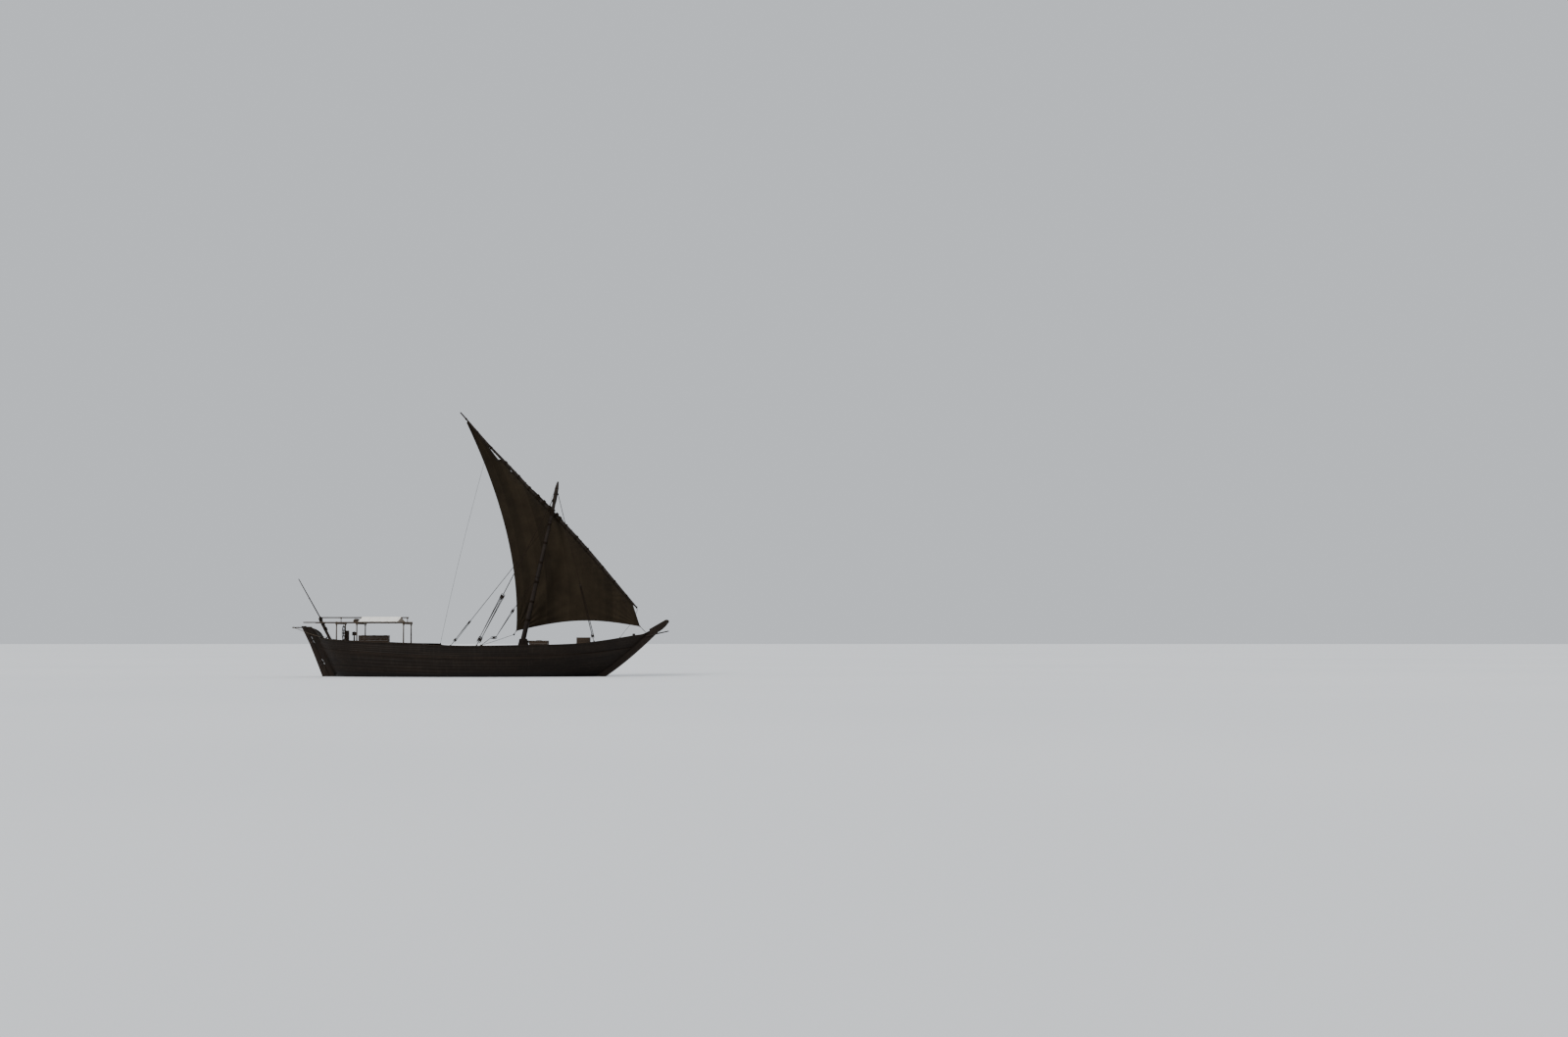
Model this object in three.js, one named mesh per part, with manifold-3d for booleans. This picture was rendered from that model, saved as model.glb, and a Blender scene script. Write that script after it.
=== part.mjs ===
// A wooden dhow of the boom type under sail: double-ended hull, long raked stem, outboard rudder,
// one mast raked forward and a lateen sail on a long yard.
// Millimetres. +X is the bow, +Y is port, +Z is up. The origin is on the centreline, at the
// waterline, amidships.
import * as THREE from 'three';
import { mergeVertices } from 'three/addons/utils/BufferGeometryUtils.js';
import Module from 'manifold-3d';

const wasm = await Module();
wasm.setup();

// Clearances
const GAP = 0.3; // between pieces that touch
const END_GAP = 1; // along X where a piece meets the raked stem or sternpost
const SIDE_GAP = 8; // between a deck's edge and the bulwark beside it
const SEAT_DEPTH = 300; // how far a piece is drawn below a deck before it is cut to it
const INTO_RAIL = 50; // how far a line is drawn past the rail cap's top before it is cut to it

// Backbone
const KEEL_TOP = -2050;
const KEEL_BOTTOM = -2450;
const POST_HALF = 150; // half the thickness of keel, stem and sternpost
const POST_FOOT = -10530; // X of the sternpost's fore face at the waterline
const POST_RAKE = -0.495; // X gained for each unit of height
const POST_DEPTH = 356; // fore face to aft face, along X
const POST_HEAD = 4050;
const RABBET_START = [4900, KEEL_TOP];
const RABBET_PULL = [9300, -2000];
const RABBET_END = [14950, 3600];
const STEM_START = [5000, KEEL_BOTTOM];
const STEM_PULL = [9900, -2300];
const STEM_END = [15570, 3590];
// The stemhead from its underside, round the tip and back along its top
const STEMHEAD = [
  [15930, 3700],
  [16280, 3980],
  [16600, 4350],
  [16640, 4540],
  [16420, 4630],
  [15040, 3850],
];

// Hull
const BULWARK_THICK = 90;
const CAP_THICK = 80;
const CAP_OVERHANG = 60;
const WALE_TOP = 130; // below the deck's underside
const WALE_BOTTOM = 330;
const WALE_THICK = 70;
const DECK_THICK = 60;
const POOP_RISE = 300;
const POOP_BREAK = -2420; // X of the poop's fore edge
const FOREDECK_RISE = 420;
const FOREDECK_BREAK = 12150;
const FAR = 16000; // beyond either end of the hull
const UNDERWATER = [0, 0.07, 0.18, 0.34, 0.54, 0.77]; // shares of the height from keel to wale
const FRAME_HEADS = { aft: -10900, fore: 13600, step: 520, width: 110, depth: 85 };

// Each row is one section: x and rail are the rail's place, half its half-breadth, deck the height
// of the deck's underside, and slack how hollow the section is (0.5 is full, over 1 is hollow).
const SECTIONS = [
  { x: -12485, rail: 3950, half: 150, deck: 2450, slack: 1.2 },
  { x: -12250, rail: 3850, half: 430, deck: 2430, slack: 1.05 },
  { x: -11900, rail: 3540, half: 800, deck: 2400, slack: 1 },
  { x: -11650, rail: 3130, half: 890, deck: 2370, slack: 1 },
  { x: -11000, rail: 3020, half: 1560, deck: 2320, slack: 0.95 },
  { x: -10000, rail: 2950, half: 2180, deck: 2250, slack: 0.85 },
  { x: -8500, rail: 2880, half: 2760, deck: 2150, slack: 0.74 },
  { x: -6500, rail: 2790, half: 3250, deck: 2030, slack: 0.63 },
  { x: -4500, rail: 2715, half: 3580, deck: 1930, slack: 0.55 },
  { x: -2750, rail: 2690, half: 3770, deck: 1855, slack: 0.51 },
  { x: -2350, rail: 2560, half: 3800, deck: 1840, slack: 0.5 },
  { x: -500, rail: 2500, half: 3890, deck: 1780, slack: 0.48 },
  { x: 2000, rail: 2520, half: 3900, deck: 1750, slack: 0.48 },
  { x: 4500, rail: 2560, half: 3740, deck: 1760, slack: 0.52 },
  { x: 6800, rail: 2600, half: 3380, deck: 1800, slack: 0.58 },
  { x: 8800, rail: 2655, half: 2880, deck: 1860, slack: 0.68 },
  { x: 10400, rail: 2800, half: 2350, deck: 1950, slack: 0.78 },
  { x: 11700, rail: 2980, half: 1830, deck: 2060, slack: 0.88 },
  { x: 12900, rail: 3180, half: 1270, deck: 2200, slack: 0.98 },
  { x: 13900, rail: 3360, half: 700, deck: 2340, slack: 1.08 },
  { x: 14500, rail: 3450, half: 380, deck: 2420, slack: 1.14 },
  { x: 15030, rail: 3720, half: 150, deck: 2500, slack: 1.2 },
];

// Rudder
const AXIS_AFT = 490; // the hinge line's distance aft of the sternpost's fore face, along X
const RUDDER_THICK = 140;
const NOSE_RADIUS = 75;
const PIN_RADIUS = 28;
const EYE_RADIUS = 62;
const EYE_HEIGHT = 110;
const EYE_ROOM = 14; // all round an eye in the rudder's notch
const PIN_ENDS = 40; // how much longer a pin is than its eye
const EYE_ARM_HALF = 32;
const EYE_ARM_OVERLAP = 10; // how far an eye's arm runs into the sternpost
const RUN_GAP = 0.6; // between a pin and its bore
const GUDGEON_PLACES = [-1900, -450, 1300, 3300]; // along the hinge line, from the waterline
// Heights on the rudder and its width there, along X
const RUDDER_WIDTHS = [
  { z: -2350, width: 1180 },
  { z: -1900, width: 1230 },
  { z: -1000, width: 950 },
  { z: 100, width: 550 },
  { z: 1450, width: 420 },
  { z: 2670, width: 320 },
  { z: 4100, width: 310 },
];
const ARM = { aft: -14120, fore: -13150, z: 3980, half: 50 };
const MORTISE_DEPTH = 200; // cut into the rudder head, aft of the arm's fore end

// Mast and rig
const MAST_AT = [4800, 3200]; // a point on the mast's axis, X and Z
const MAST_LEAN = 0.2221; // X gained for each unit of height
const MAST_TOP = 15900;
const MAST_SIDES = 16;
const MAST_AT_YARD = 142; // its radius where the parrel turns on it
const PARREL_LENGTH = 240;
const PARREL_THICK = 50;
// Distance along the mast from the waterline and the mast's radius there
const MAST_PROFILE = [
  { along: 300, radius: 215 },
  { along: 3500, radius: 205 },
  { along: 8500, radius: 180 },
  { along: 13500, radius: MAST_AT_YARD },
  { along: 14400, radius: MAST_AT_YARD },
  { along: 15300, radius: 105 },
  { along: 16000, radius: 70 },
];
const YARD_HEEL = [14000, 5600];
const YARD_PEAK = [-590, 21660];
const YARD_BOW = 170; // how far the yard bends upwards
const YARD_RADIUS = 170;
const YARD_TIP_RADIUS = 52;
const YARD_STEPS = 16;
const YARD_SIDES = 12;
const SAIL_THICK = 24;
const SAIL_OVERLAP = 6; // how far the cloth is drawn into the yard before it is cut to it
const SAIL_TOP = 0.955; // share of the yard's length that the sail reaches
const TACK = [14190, 4060];
const CLEW = [4340, 3720];
const LEECH_PULL = [4750, 11200];
const FOOT_RISE = 760;
const BELLY = 1150;
const SAIL_COLUMNS = 8;
const LUFF_ROWS = 2;
const HEAD_DROP = 90; // from the yard's underside to the top of the leech
const HEAD_WIDTH = 160; // the cloth's width at the peak

// Awning frame on the poop
const POLE_RADIUS = 50;
const POLE_Y = 1800;
const POLE_Z = 4380;
const RIDGE_Z = 4790;
const SIDE_POLE = [-12400, -4050];
const RIDGE_POLE = [-11800, -4600];
const FRAME_PLACES = [-10120, -8480, -4700];
const BEAM_HALF = 1960;
const POST_RADII = [60, 45]; // at the foot and at the top
const KING_RADIUS = 35; // the short post between beam and ridge pole
const AWNING_LIFT = 6; // from the side poles to the cloth's edge
const AWNING = { aft: -8400, fore: -4950, half: 1880, thick: 20 };
const AWNING_ROLL = { x: -8850, half: 900, radius: 230, sides: 10 };
// Shares of the roll's half-length and of its radius there
const ROLL_SHAPE = [[-1, 0.35], [-0.55, 0.85], [0, 1], [0.55, 0.85], [1, 0.35]];

// Furniture, as aft and fore X, half-breadth and height of the top
const LOCKER = { aft: -8600, fore: -6200, starboard: -420, port: 380, top: 3310, wall: 40 };
const LID = { thick: 50, overhang: 20 };
const TANK = { aft: 5330, fore: 6780, half: 700, top: 2920 };
const FIRE_BOX = { aft: 9160, fore: 10200, half: 550, top: 3180, wall: 60, floor: 2250 };
const HATCH = { aft: -1000, fore: 2600, half: 1200, wall: 90, top: 2120 };
const HATCH_COVER = { thick: 70, overhang: 60 };
const BITTS = { aft: 4280, fore: 5200, half: 380, cheek: 130, top: 3080, step: 150 };
const BULKHEAD = { thick: 60, half: 3550, lip: 40 };
const BOW_BITT = { aft: 13670, fore: 13890, half: 110, top: 3490 };
const STAFF = { foot: [-10800, 0, 2620], tip: [-13680, 0, 7960], radius: 110, tipRadius: 35 };
const STAFF_SEAT = 0.03; // share of its length that it is drawn below its foot
const BUMKIN = { aft: [14700, 3260], fore: [16650, 3690], radii: [45, 36] };
const WHEEL = { x: -9900, z: 3520, rim: 560, rimOuter: 625, rimHalf: 28, tip: 760, spokes: 8 };
const SPOKE_RADIUS = 20;
const HUB = { radius: 90, length: 120 };
const AXLE = { radius: 28, length: 280 };
const AXLE_OVERLAP = 20; // how far the axle runs into the hub
const WHEEL_SIDES = 32;
const ROUND_SIDES = 12;
const WHEEL_STAND = { aft: -9790, fore: -9480, half: 220, rise: 1120 };
const BINNACLE = { x: -9040, radius: 70, headFoot: 3330, headHalf: 150, headTop: 3660 };

// Colours and finish
const material = (color, roughness, metalness = 0) =>
  new THREE.MeshStandardMaterial({ color, roughness, metalness });
const HULL_WOOD = material(0x2a1a0e, 0.7);
const TRIM_WOOD = material(0x3b2616, 0.65);
const DECK_WOOD = material(0x6b5136, 0.8);
const SPAR_WOOD = material(0x4a3320, 0.7);
const CANVAS = material(0x3a2e1c, 0.95);
const AWNING_CLOTH = material(0xe7e0d9, 0.9);
const ROPE = material(0x6a5638, 0.95);

// Geometry helpers

// A ring is a closed loop of points. Rings of equal length are skinned one to the next, and the
// two ends are closed by a ladder of faces between the ring's first and second half. The second
// half's faces are split along the other diagonal, so that a hull's two sides mirror each other.
function loft(rings) {
  const count = rings[0].length;
  const end = (rings.length - 1) * count;
  const index = [];
  for (let i = 0; i < rings.length - 1; i += 1) {
    for (let k = 0; k < count; k += 1) {
      const a = i * count + k;
      const b = i * count + (k + 1) % count;
      if (k < count / 2) index.push(a, a + count, b + count, a, b + count, b);
      else index.push(a, a + count, b, b, a + count, b + count);
    }
  }
  for (let k = 0; k < count / 2 - 1; k += 1) {
    const last = count - 1 - k;
    index.push(k, k + 1, last - 1, k, last - 1, last);
    index.push(end + k, end + last - 1, end + k + 1, end + k, end + last, end + last - 1);
  }
  const geometry = new THREE.BufferGeometry();
  geometry.setAttribute('position', new THREE.Float32BufferAttribute(rings.flat(2), 3));
  geometry.setIndex(index);
  return facingOut(geometry);
}

// Turns every face round where the enclosed volume comes out negative
function facingOut(geometry) {
  const position = geometry.getAttribute('position');
  const index = geometry.getIndex().array;
  const corners = [new THREE.Vector3(), new THREE.Vector3(), new THREE.Vector3()];
  let volume = 0;
  for (let i = 0; i < index.length; i += 3) {
    corners.forEach((corner, j) => corner.fromBufferAttribute(position, index[i + j]));
    volume += corners[0].dot(corners[1].clone().cross(corners[2]));
  }
  if (volume < 0) {
    geometry.setIndex([...index].reverse());
  }
  return geometry;
}

// A round bar through points, with a radius for each point and a corner on its upper side
function rod(path, radii, sides = 8) {
  const points = path.map((point) => new THREE.Vector3(...point));
  const rings = points.map((point, i) => {
    const before = points[Math.max(i - 1, 0)];
    const after = points[Math.min(i + 1, points.length - 1)];
    const along = after.clone().sub(before).normalize();
    const upright = Math.abs(along.z) > 0.98;
    const up = upright ? new THREE.Vector3(1, 0, 0) : new THREE.Vector3(0, 0, 1);
    const side = up.cross(along).normalize();
    const top = along.clone().cross(side);
    return Array.from({ length: sides }, (_, k) => {
      const angle = (2 * Math.PI * k) / sides;
      const spoke = top.clone().multiplyScalar(Math.cos(angle)).addScaledVector(side, Math.sin(angle));
      return point.clone().addScaledVector(spoke, radii[i]).toArray();
    });
  });
  return loft(rings);
}

function box(x0, x1, y0, y1, z0, z1) {
  const geometry = new THREE.BoxGeometry(x1 - x0, y1 - y0, z1 - z0);
  return geometry.translate((x0 + x1) / 2, (y0 + y1) / 2, (z0 + z1) / 2);
}

// An outline in X and Z, as thick as width and centred on the centreline
function plate(outline, width) {
  const shape = new THREE.Shape(outline.map(([x, z]) => new THREE.Vector2(x, z)));
  const geometry = new THREE.ExtrudeGeometry(shape, { depth: width, bevelEnabled: false });
  return geometry.rotateX(Math.PI / 2).translate(0, width / 2, 0);
}

function solid(geometry) {
  const plain = new THREE.BufferGeometry();
  plain.setAttribute('position', geometry.getAttribute('position').clone());
  plain.setIndex(geometry.getIndex());
  const merged = mergeVertices(plain, 1e-3);
  const vertProperties = new Float32Array(merged.getAttribute('position').array);
  const triVerts = new Uint32Array(merged.getIndex().array);
  return new wasm.Manifold(new wasm.Mesh({ numProp: 3, vertProperties, triVerts }));
}

function geometryOf(manifold) {
  const mesh = manifold.getMesh();
  const geometry = new THREE.BufferGeometry();
  geometry.setAttribute('position', new THREE.Float32BufferAttribute(mesh.vertProperties, 3));
  geometry.setIndex([...mesh.triVerts]);
  return geometry;
}

const joined = (pieces) => pieces.reduce((whole, piece) => whole.add(piece));
const without = (manifold, cutters) => cutters.reduce((rest, cutter) => rest.subtract(cutter), manifold);
const lerp = THREE.MathUtils.lerp;

const group = new THREE.Group();

function add(name, shape, finish) {
  const geometry = shape instanceof THREE.BufferGeometry ? shape : geometryOf(shape);
  const mesh = new THREE.Mesh(geometry, finish);
  mesh.name = name;
  group.add(mesh);
}

// Hull form

function bezierAt(curve, share) {
  const [start, pull, end] = curve;
  const rest = 1 - share;
  return [0, 1].map((i) => rest * rest * start[i] + 2 * rest * share * pull[i] + share * share * end[i]);
}

// X on a quadratic curve at a height, from the curve's own equation in Z
function bezierX(curve, z) {
  const [start, pull, end] = curve;
  const a = start[1] - 2 * pull[1] + end[1];
  const b = 2 * (pull[1] - start[1]);
  const c = start[1] - z;
  const share = (-b + Math.sqrt(b * b - 4 * a * c)) / (2 * a);
  return bezierAt(curve, share)[0];
}

const RABBET = [RABBET_START, RABBET_PULL, RABBET_END];
const sternX = (z) => POST_FOOT + POST_RAKE * z;
const stemX = (z) => bezierX(RABBET, z);

// Where a section lies between sternpost and stem, from 0 to 1
function lengthShare(row) {
  const share = (row.x - sternX(row.rail)) / (stemX(row.rail) - sternX(row.rail));
  if (row === SECTIONS[0]) return 0;
  if (row === SECTIONS.at(-1)) return 1;
  return share;
}

// A point on the port side of the hull: X is the section's share of the way from sternpost to
// stem at that height, and Y rises from the keel as the sine of a power of the height.
function skin(row, z) {
  const x = lerp(sternX(z), stemX(z), lengthShare(row));
  const rise = Math.max(0, (z - KEEL_TOP) / (row.rail - KEEL_TOP));
  const fullness = Math.sin((Math.PI / 2) * rise ** row.slack);
  return { x, y: POST_HALF + (row.half - POST_HALF) * fullness, z };
}

const mirrored = (ring) => ring.map(([x, y, z]) => [x, -y, z]);

// Both sides of a section at the given heights, pulled in by inset: a closed ring
function section(row, heights, inset = 0) {
  const port = heights.map((z) => {
    const point = skin(row, z);
    return [point.x, point.y - inset, point.z];
  });
  return [...port, ...mirrored(port).reverse()];
}

// One side's strip of plank between two heights, from inset inside the skin to outset outside it
function strip(row, low, high, inset, outset) {
  const bottom = skin(row, low);
  const top = skin(row, high);
  const inner = (point) => Math.max(point.y - inset, POST_HALF / 10);
  return [
    [bottom.x, inner(bottom), bottom.z],
    [top.x, inner(top), top.z],
    [top.x, top.y + outset, top.z],
    [bottom.x, bottom.y + outset, bottom.z],
  ];
}

function hullHeights(row) {
  const waleFoot = row.deck - WALE_BOTTOM;
  const lower = UNDERWATER.map((share) => lerp(KEEL_TOP, waleFoot, share));
  return [...lower, waleFoot, row.deck - WALE_TOP, row.deck];
}

// Height of the deck's underside at an X, straight between the sections and past the last one
function deckAt(x) {
  const places = SECTIONS.map((row) => [skin(row, row.deck).x, row.deck]);
  const found = places.findIndex(([place]) => place > x);
  const next = found < 0 ? places.length - 1 : found;
  const [x0, z0] = places[next - 1];
  const [x1, z1] = places[next];
  return lerp(z0, z1, (x - x0) / (x1 - x0));
}

// A deck as a seat: its height at an X, and all that lies below it, for cutting pieces to it
function seatOn(rise) {
  const rings = SECTIONS.map((row) => section(row, [0, row.deck, row.deck + rise + GAP], -SEAT_DEPTH));
  return { top: (x) => deckAt(x) + rise, below: solid(loft(rings)) };
}

const mainSeat = seatOn(DECK_THICK);
const poopSeat = seatOn(DECK_THICK + POOP_RISE);
const foreSeat = seatOn(DECK_THICK + FOREDECK_RISE);

function hull() {
  return loft(SECTIONS.map((row) => section(row, hullHeights(row))));
}

function keel() {
  return plate([
    [sternX(KEEL_BOTTOM) + END_GAP, KEEL_BOTTOM],
    [STEM_START[0] - END_GAP, KEEL_BOTTOM],
    [RABBET_START[0] - END_GAP, KEEL_TOP - GAP],
    [sternX(KEEL_TOP) + END_GAP, KEEL_TOP - GAP],
  ], 2 * POST_HALF);
}

function stem() {
  const steps = 12;
  const profile = [STEM_START, STEM_PULL, STEM_END];
  const outer = Array.from({ length: steps + 1 }, (_, i) => bezierAt(profile, i / steps));
  const row = SECTIONS.at(-1);
  const heights = [...hullHeights(row), row.rail - CAP_THICK, row.rail];
  const inner = heights.map((z) => [stemX(z) + END_GAP, z]).reverse();
  return plate([...outer, ...STEMHEAD, ...inner], 2 * POST_HALF);
}

function bulwark(row) {
  return strip(row, row.deck + GAP, row.rail - CAP_THICK - GAP, BULWARK_THICK, 0);
}

function railCap(row) {
  return strip(row, row.rail - CAP_THICK, row.rail, BULWARK_THICK + CAP_OVERHANG, CAP_OVERHANG);
}

function wale(row) {
  return strip(row, row.deck - WALE_BOTTOM, row.deck - WALE_TOP, -GAP, WALE_THICK);
}

function addSides(name, ringOf, finish) {
  const port = SECTIONS.map(ringOf);
  add(`${name}_port`, loft(port), finish);
  add(`${name}_starboard`, loft(port.map(mirrored)), finish);
}

// How far the deck's top is above the hull's top at an X
function deckRise(x) {
  if (x < POOP_BREAK) return DECK_THICK + POOP_RISE;
  return x > FOREDECK_BREAK ? DECK_THICK + FOREDECK_RISE : DECK_THICK;
}

// The timbers that stand up from a deck inside the port bulwark: upright slices of a lining
function frameHeads(rise) {
  const { aft, fore, step, width, depth } = FRAME_HEADS;
  const inner = BULWARK_THICK + depth;
  const lining = solid(loft(SECTIONS.map((row) =>
    strip(row, row.deck + rise + END_GAP, row.rail - CAP_THICK - GAP, inner, -BULWARK_THICK / 2))));
  const places = Array.from({ length: Math.floor((fore - aft) / step) + 1 }, (_, i) => aft + i * step);
  const slices = places.filter((x) => deckRise(x) === rise)
    .map((x) => solid(box(x - width / 2, x + width / 2, 0, FAR, 0, FAR)));
  return lining.intersect(joined(slices));
}

const portBulwark = SECTIONS.map(bulwark);
const deckRises = [FOREDECK_BREAK + 1, 0, POOP_BREAK - 1].map(deckRise);
const framedBulwark = joined([solid(loft(portBulwark)), ...deckRises.map(frameHeads)]);
const nearSides = [
  solid(loft(portBulwark)).translate([0, -SIDE_GAP, 0]),
  solid(loft(portBulwark.map(mirrored))).translate([0, SIDE_GAP, 0]),
  solid(stem()).translate([-SIDE_GAP, 0, 0]),
];

// A deck from low to high above the hull's top, between two X, clear of the bulwarks and stem
function deck(low, high, aft, fore) {
  const rings = SECTIONS.map((row) => section(row, [row.deck + low, row.deck + high], BULWARK_THICK));
  const between = solid(box(aft, fore, -FAR, FAR, 0, FAR));
  return without(solid(loft(rings)).intersect(between), nearSides);
}

function foredeck() {
  return deck(DECK_THICK + GAP, DECK_THICK + FOREDECK_RISE, FOREDECK_BREAK, FAR);
}

// Hinge line of the rudder: its own Z runs up the line and its own X points forward
const hingeFrame = new THREE.Matrix4()
  .makeTranslation(POST_FOOT - AXIS_AFT, 0, 0)
  .multiply(new THREE.Matrix4().makeRotationY(Math.atan(POST_RAKE)));
const axisX = (z) => sternX(z) - AXIS_AFT;
const POST_FACE = (AXIS_AFT - POST_DEPTH) * Math.cos(Math.atan(POST_RAKE));

function hingeCylinder(radius, height, along) {
  const geometry = new THREE.CylinderGeometry(radius, radius, height, ROUND_SIDES);
  return solid(geometry.rotateX(Math.PI / 2).translate(0, 0, along).applyMatrix4(hingeFrame));
}

function gudgeon(along) {
  const half = EYE_HEIGHT / 2;
  const width = EYE_ARM_HALF;
  const reach = POST_FACE + EYE_ARM_OVERLAP;
  const arm = box(EYE_RADIUS / 2, reach, -width, width, along - half, along + half);
  return hingeCylinder(EYE_RADIUS, EYE_HEIGHT, along).add(solid(arm.applyMatrix4(hingeFrame)));
}

function sternpost() {
  const post = plate([
    [sternX(KEEL_BOTTOM) - GAP, KEEL_BOTTOM],
    [sternX(POST_HEAD) - GAP, POST_HEAD],
    [sternX(POST_HEAD) - POST_DEPTH, POST_HEAD],
    [sternX(KEEL_BOTTOM) - POST_DEPTH, KEEL_BOTTOM],
  ], 2 * POST_HALF);
  const bore = (PIN_RADIUS + RUN_GAP) / Math.cos(Math.PI / ROUND_SIDES);
  const whole = joined([solid(post), ...GUDGEON_PLACES.map(gudgeon)]);
  return without(whole, GUDGEON_PLACES.map((along) => hingeCylinder(bore, EYE_HEIGHT * 2, along)));
}

function rudder() {
  const foot = RUDDER_WIDTHS[0];
  const head = RUDDER_WIDTHS.at(-1);
  const leading = [[axisX(head.z), head.z], [axisX(foot.z), foot.z]];
  const trailing = RUDDER_WIDTHS.map(({ z, width }) => [axisX(z) - width, z]);
  const blade = solid(plate([...leading, ...trailing], RUDDER_THICK));
  const rise = 1 / Math.cos(Math.atan(POST_RAKE));
  const nose = hingeCylinder(NOSE_RADIUS, (head.z - foot.z) * rise, ((head.z + foot.z) / 2) * rise);
  const notches = GUDGEON_PLACES.map((along) => hingeCylinder(EYE_RADIUS + EYE_ROOM, EYE_HEIGHT + 1, along));
  const pins = GUDGEON_PLACES.map((along) => hingeCylinder(PIN_RADIUS, EYE_HEIGHT + PIN_ENDS, along));
  const { fore, z, half } = ARM;
  const room = half + GAP;
  const mortise = solid(box(fore - MORTISE_DEPTH, fore + GAP, -room, room, z - room, z + room));
  return without(joined([without(blade.add(nose), notches), ...pins]), [mortise]);
}

function steeringArm() {
  const { aft, fore, z, half } = ARM;
  return box(aft, fore, -half, half, z - half, z + half);
}

// Mast

const mastX = (z) => MAST_AT[0] + MAST_LEAN * (z - MAST_AT[1]);
const mastFrame = new THREE.Matrix4()
  .makeTranslation(mastX(0), 0, 0)
  .multiply(new THREE.Matrix4().makeRotationY(Math.atan(MAST_LEAN)));

function mastShape(extra) {
  const outline = MAST_PROFILE.map(({ along, radius }) => new THREE.Vector2(radius + extra, along));
  const foot = new THREE.Vector2(0, outline[0].y);
  const truck = new THREE.Vector2(0, MAST_TOP * Math.hypot(1, MAST_LEAN) + extra);
  const geometry = new THREE.LatheGeometry([foot, ...outline, truck], MAST_SIDES);
  return solid(geometry.rotateX(Math.PI / 2).applyMatrix4(mastFrame));
}

const roundMast = mastShape(GAP);

// Yard and sail lie in one upright plane beside the mast

function yardRadius(share) {
  return lerp(YARD_TIP_RADIUS, YARD_RADIUS, Math.sin(Math.PI * share) ** 0.7);
}

// A point of the yard's middle line, from the heel at 0 to the peak at 1, pushed off the line
// between its ends by the bow and then by off, both square to that line
function yardAt(share, off = 0) {
  const run = new THREE.Vector2(YARD_PEAK[0] - YARD_HEEL[0], YARD_PEAK[1] - YARD_HEEL[1]);
  const square = new THREE.Vector2(run.y, -run.x).normalize();
  const push = YARD_BOW * Math.sin(Math.PI * share ** 0.75) ** 2 + off;
  return [
    YARD_HEEL[0] + run.x * share + square.x * push,
    YARD_HEEL[1] + run.y * share + square.y * push,
  ];
}

// The share of the yard's length where it crosses the mast, by halving
function crossingShare() {
  let low = 0;
  let high = 1;
  for (let i = 0; i < 30; i += 1) {
    const middle = (low + high) / 2;
    const [x, z] = yardAt(middle);
    if (x > mastX(z)) low = middle;
    else high = middle;
  }
  return low;
}

const CROSSING = yardAt(crossingShare());
const PARREL_SIDES = 2 * MAST_SIDES;
const PARREL_STEP = Math.PI / PARREL_SIDES; // half a side, so that its flats face the mast's corners
const PARREL_INNER = (MAST_AT_YARD + RUN_GAP) / Math.cos(PARREL_STEP);
const PARREL_OUTER = PARREL_INNER + PARREL_THICK;
const YARD_Y = PARREL_OUTER * Math.cos(PARREL_STEP) + GAP + yardRadius(crossingShare());

function parrel() {
  const [inner, outer] = [PARREL_INNER, PARREL_OUTER];
  const half = PARREL_LENGTH / 2;
  const middle = CROSSING[1] * Math.hypot(1, MAST_LEAN);
  const outline = [[inner, -half], [outer, -half], [outer, half], [inner, half], [inner, -half]];
  const profile = outline.map(([radius, along]) => new THREE.Vector2(radius, middle + along));
  const geometry = new THREE.LatheGeometry(profile, PARREL_SIDES, PARREL_STEP);
  return solid(geometry.rotateX(Math.PI / 2).applyMatrix4(mastFrame));
}

const evenShares = Array.from({ length: YARD_STEPS + 1 }, (_, i) => i / YARD_STEPS);
const YARD_SHARES = [...evenShares, crossingShare()].sort((a, b) => a - b);

function yard(extra = 0) {
  const path = YARD_SHARES.map((share) => {
    const [x, z] = yardAt(share);
    return [x, YARD_Y, z];
  });
  return rod(path, YARD_SHARES.map((share) => yardRadius(share) + extra), YARD_SIDES);
}

// The sail's fore edge: up the short luff from the tack, then along under the yard
function foreEdge() {
  const head = YARD_SHARES.filter((share) => share > 0 && share < SAIL_TOP);
  const under = [...head, SAIL_TOP].map((share) => yardAt(share, SAIL_OVERLAP - yardRadius(share)));
  const luff = Array.from({ length: LUFF_ROWS }, (_, i) => [
    lerp(TACK[0], under[0][0], i / LUFF_ROWS),
    lerp(TACK[1], under[0][1], i / LUFF_ROWS),
  ]);
  return [...luff, ...under];
}

// Rows run from the foot to the head. Along a row the cloth goes from the fore edge to the leech,
// and it bellies out to port with the sine of the way across, least at the foot's ends and the peak.
function sail() {
  const edge = foreEdge();
  const leech = [CLEW, LEECH_PULL, yardAt(SAIL_TOP, -yardRadius(SAIL_TOP) - HEAD_DROP)];
  const rings = edge.map(([x, z], i) => {
    const up = i / (edge.length - 1);
    const [leechX, leechZ] = bezierAt(leech, up);
    const aftX = i === edge.length - 1 ? x - HEAD_WIDTH : leechX;
    const row = Array.from({ length: SAIL_COLUMNS + 1 }, (_, k) => {
      const across = k / SAIL_COLUMNS;
      const foot = FOOT_RISE * Math.sin(Math.PI * across) * (1 - up) ** 3;
      const belly = BELLY * Math.sin(Math.PI * across ** 0.8) * (1 - up ** 2) ** 0.8;
      return [lerp(x, aftX, across), YARD_Y + belly, lerp(z, leechZ, across) + foot];
    });
    const half = SAIL_THICK / 2;
    const near = row.map(([px, py, pz]) => [px, py - half, pz]);
    const far = row.map(([px, py, pz]) => [px, py + half, pz]);
    return [...near, ...far.reverse()];
  });
  return loft(rings);
}

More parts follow.
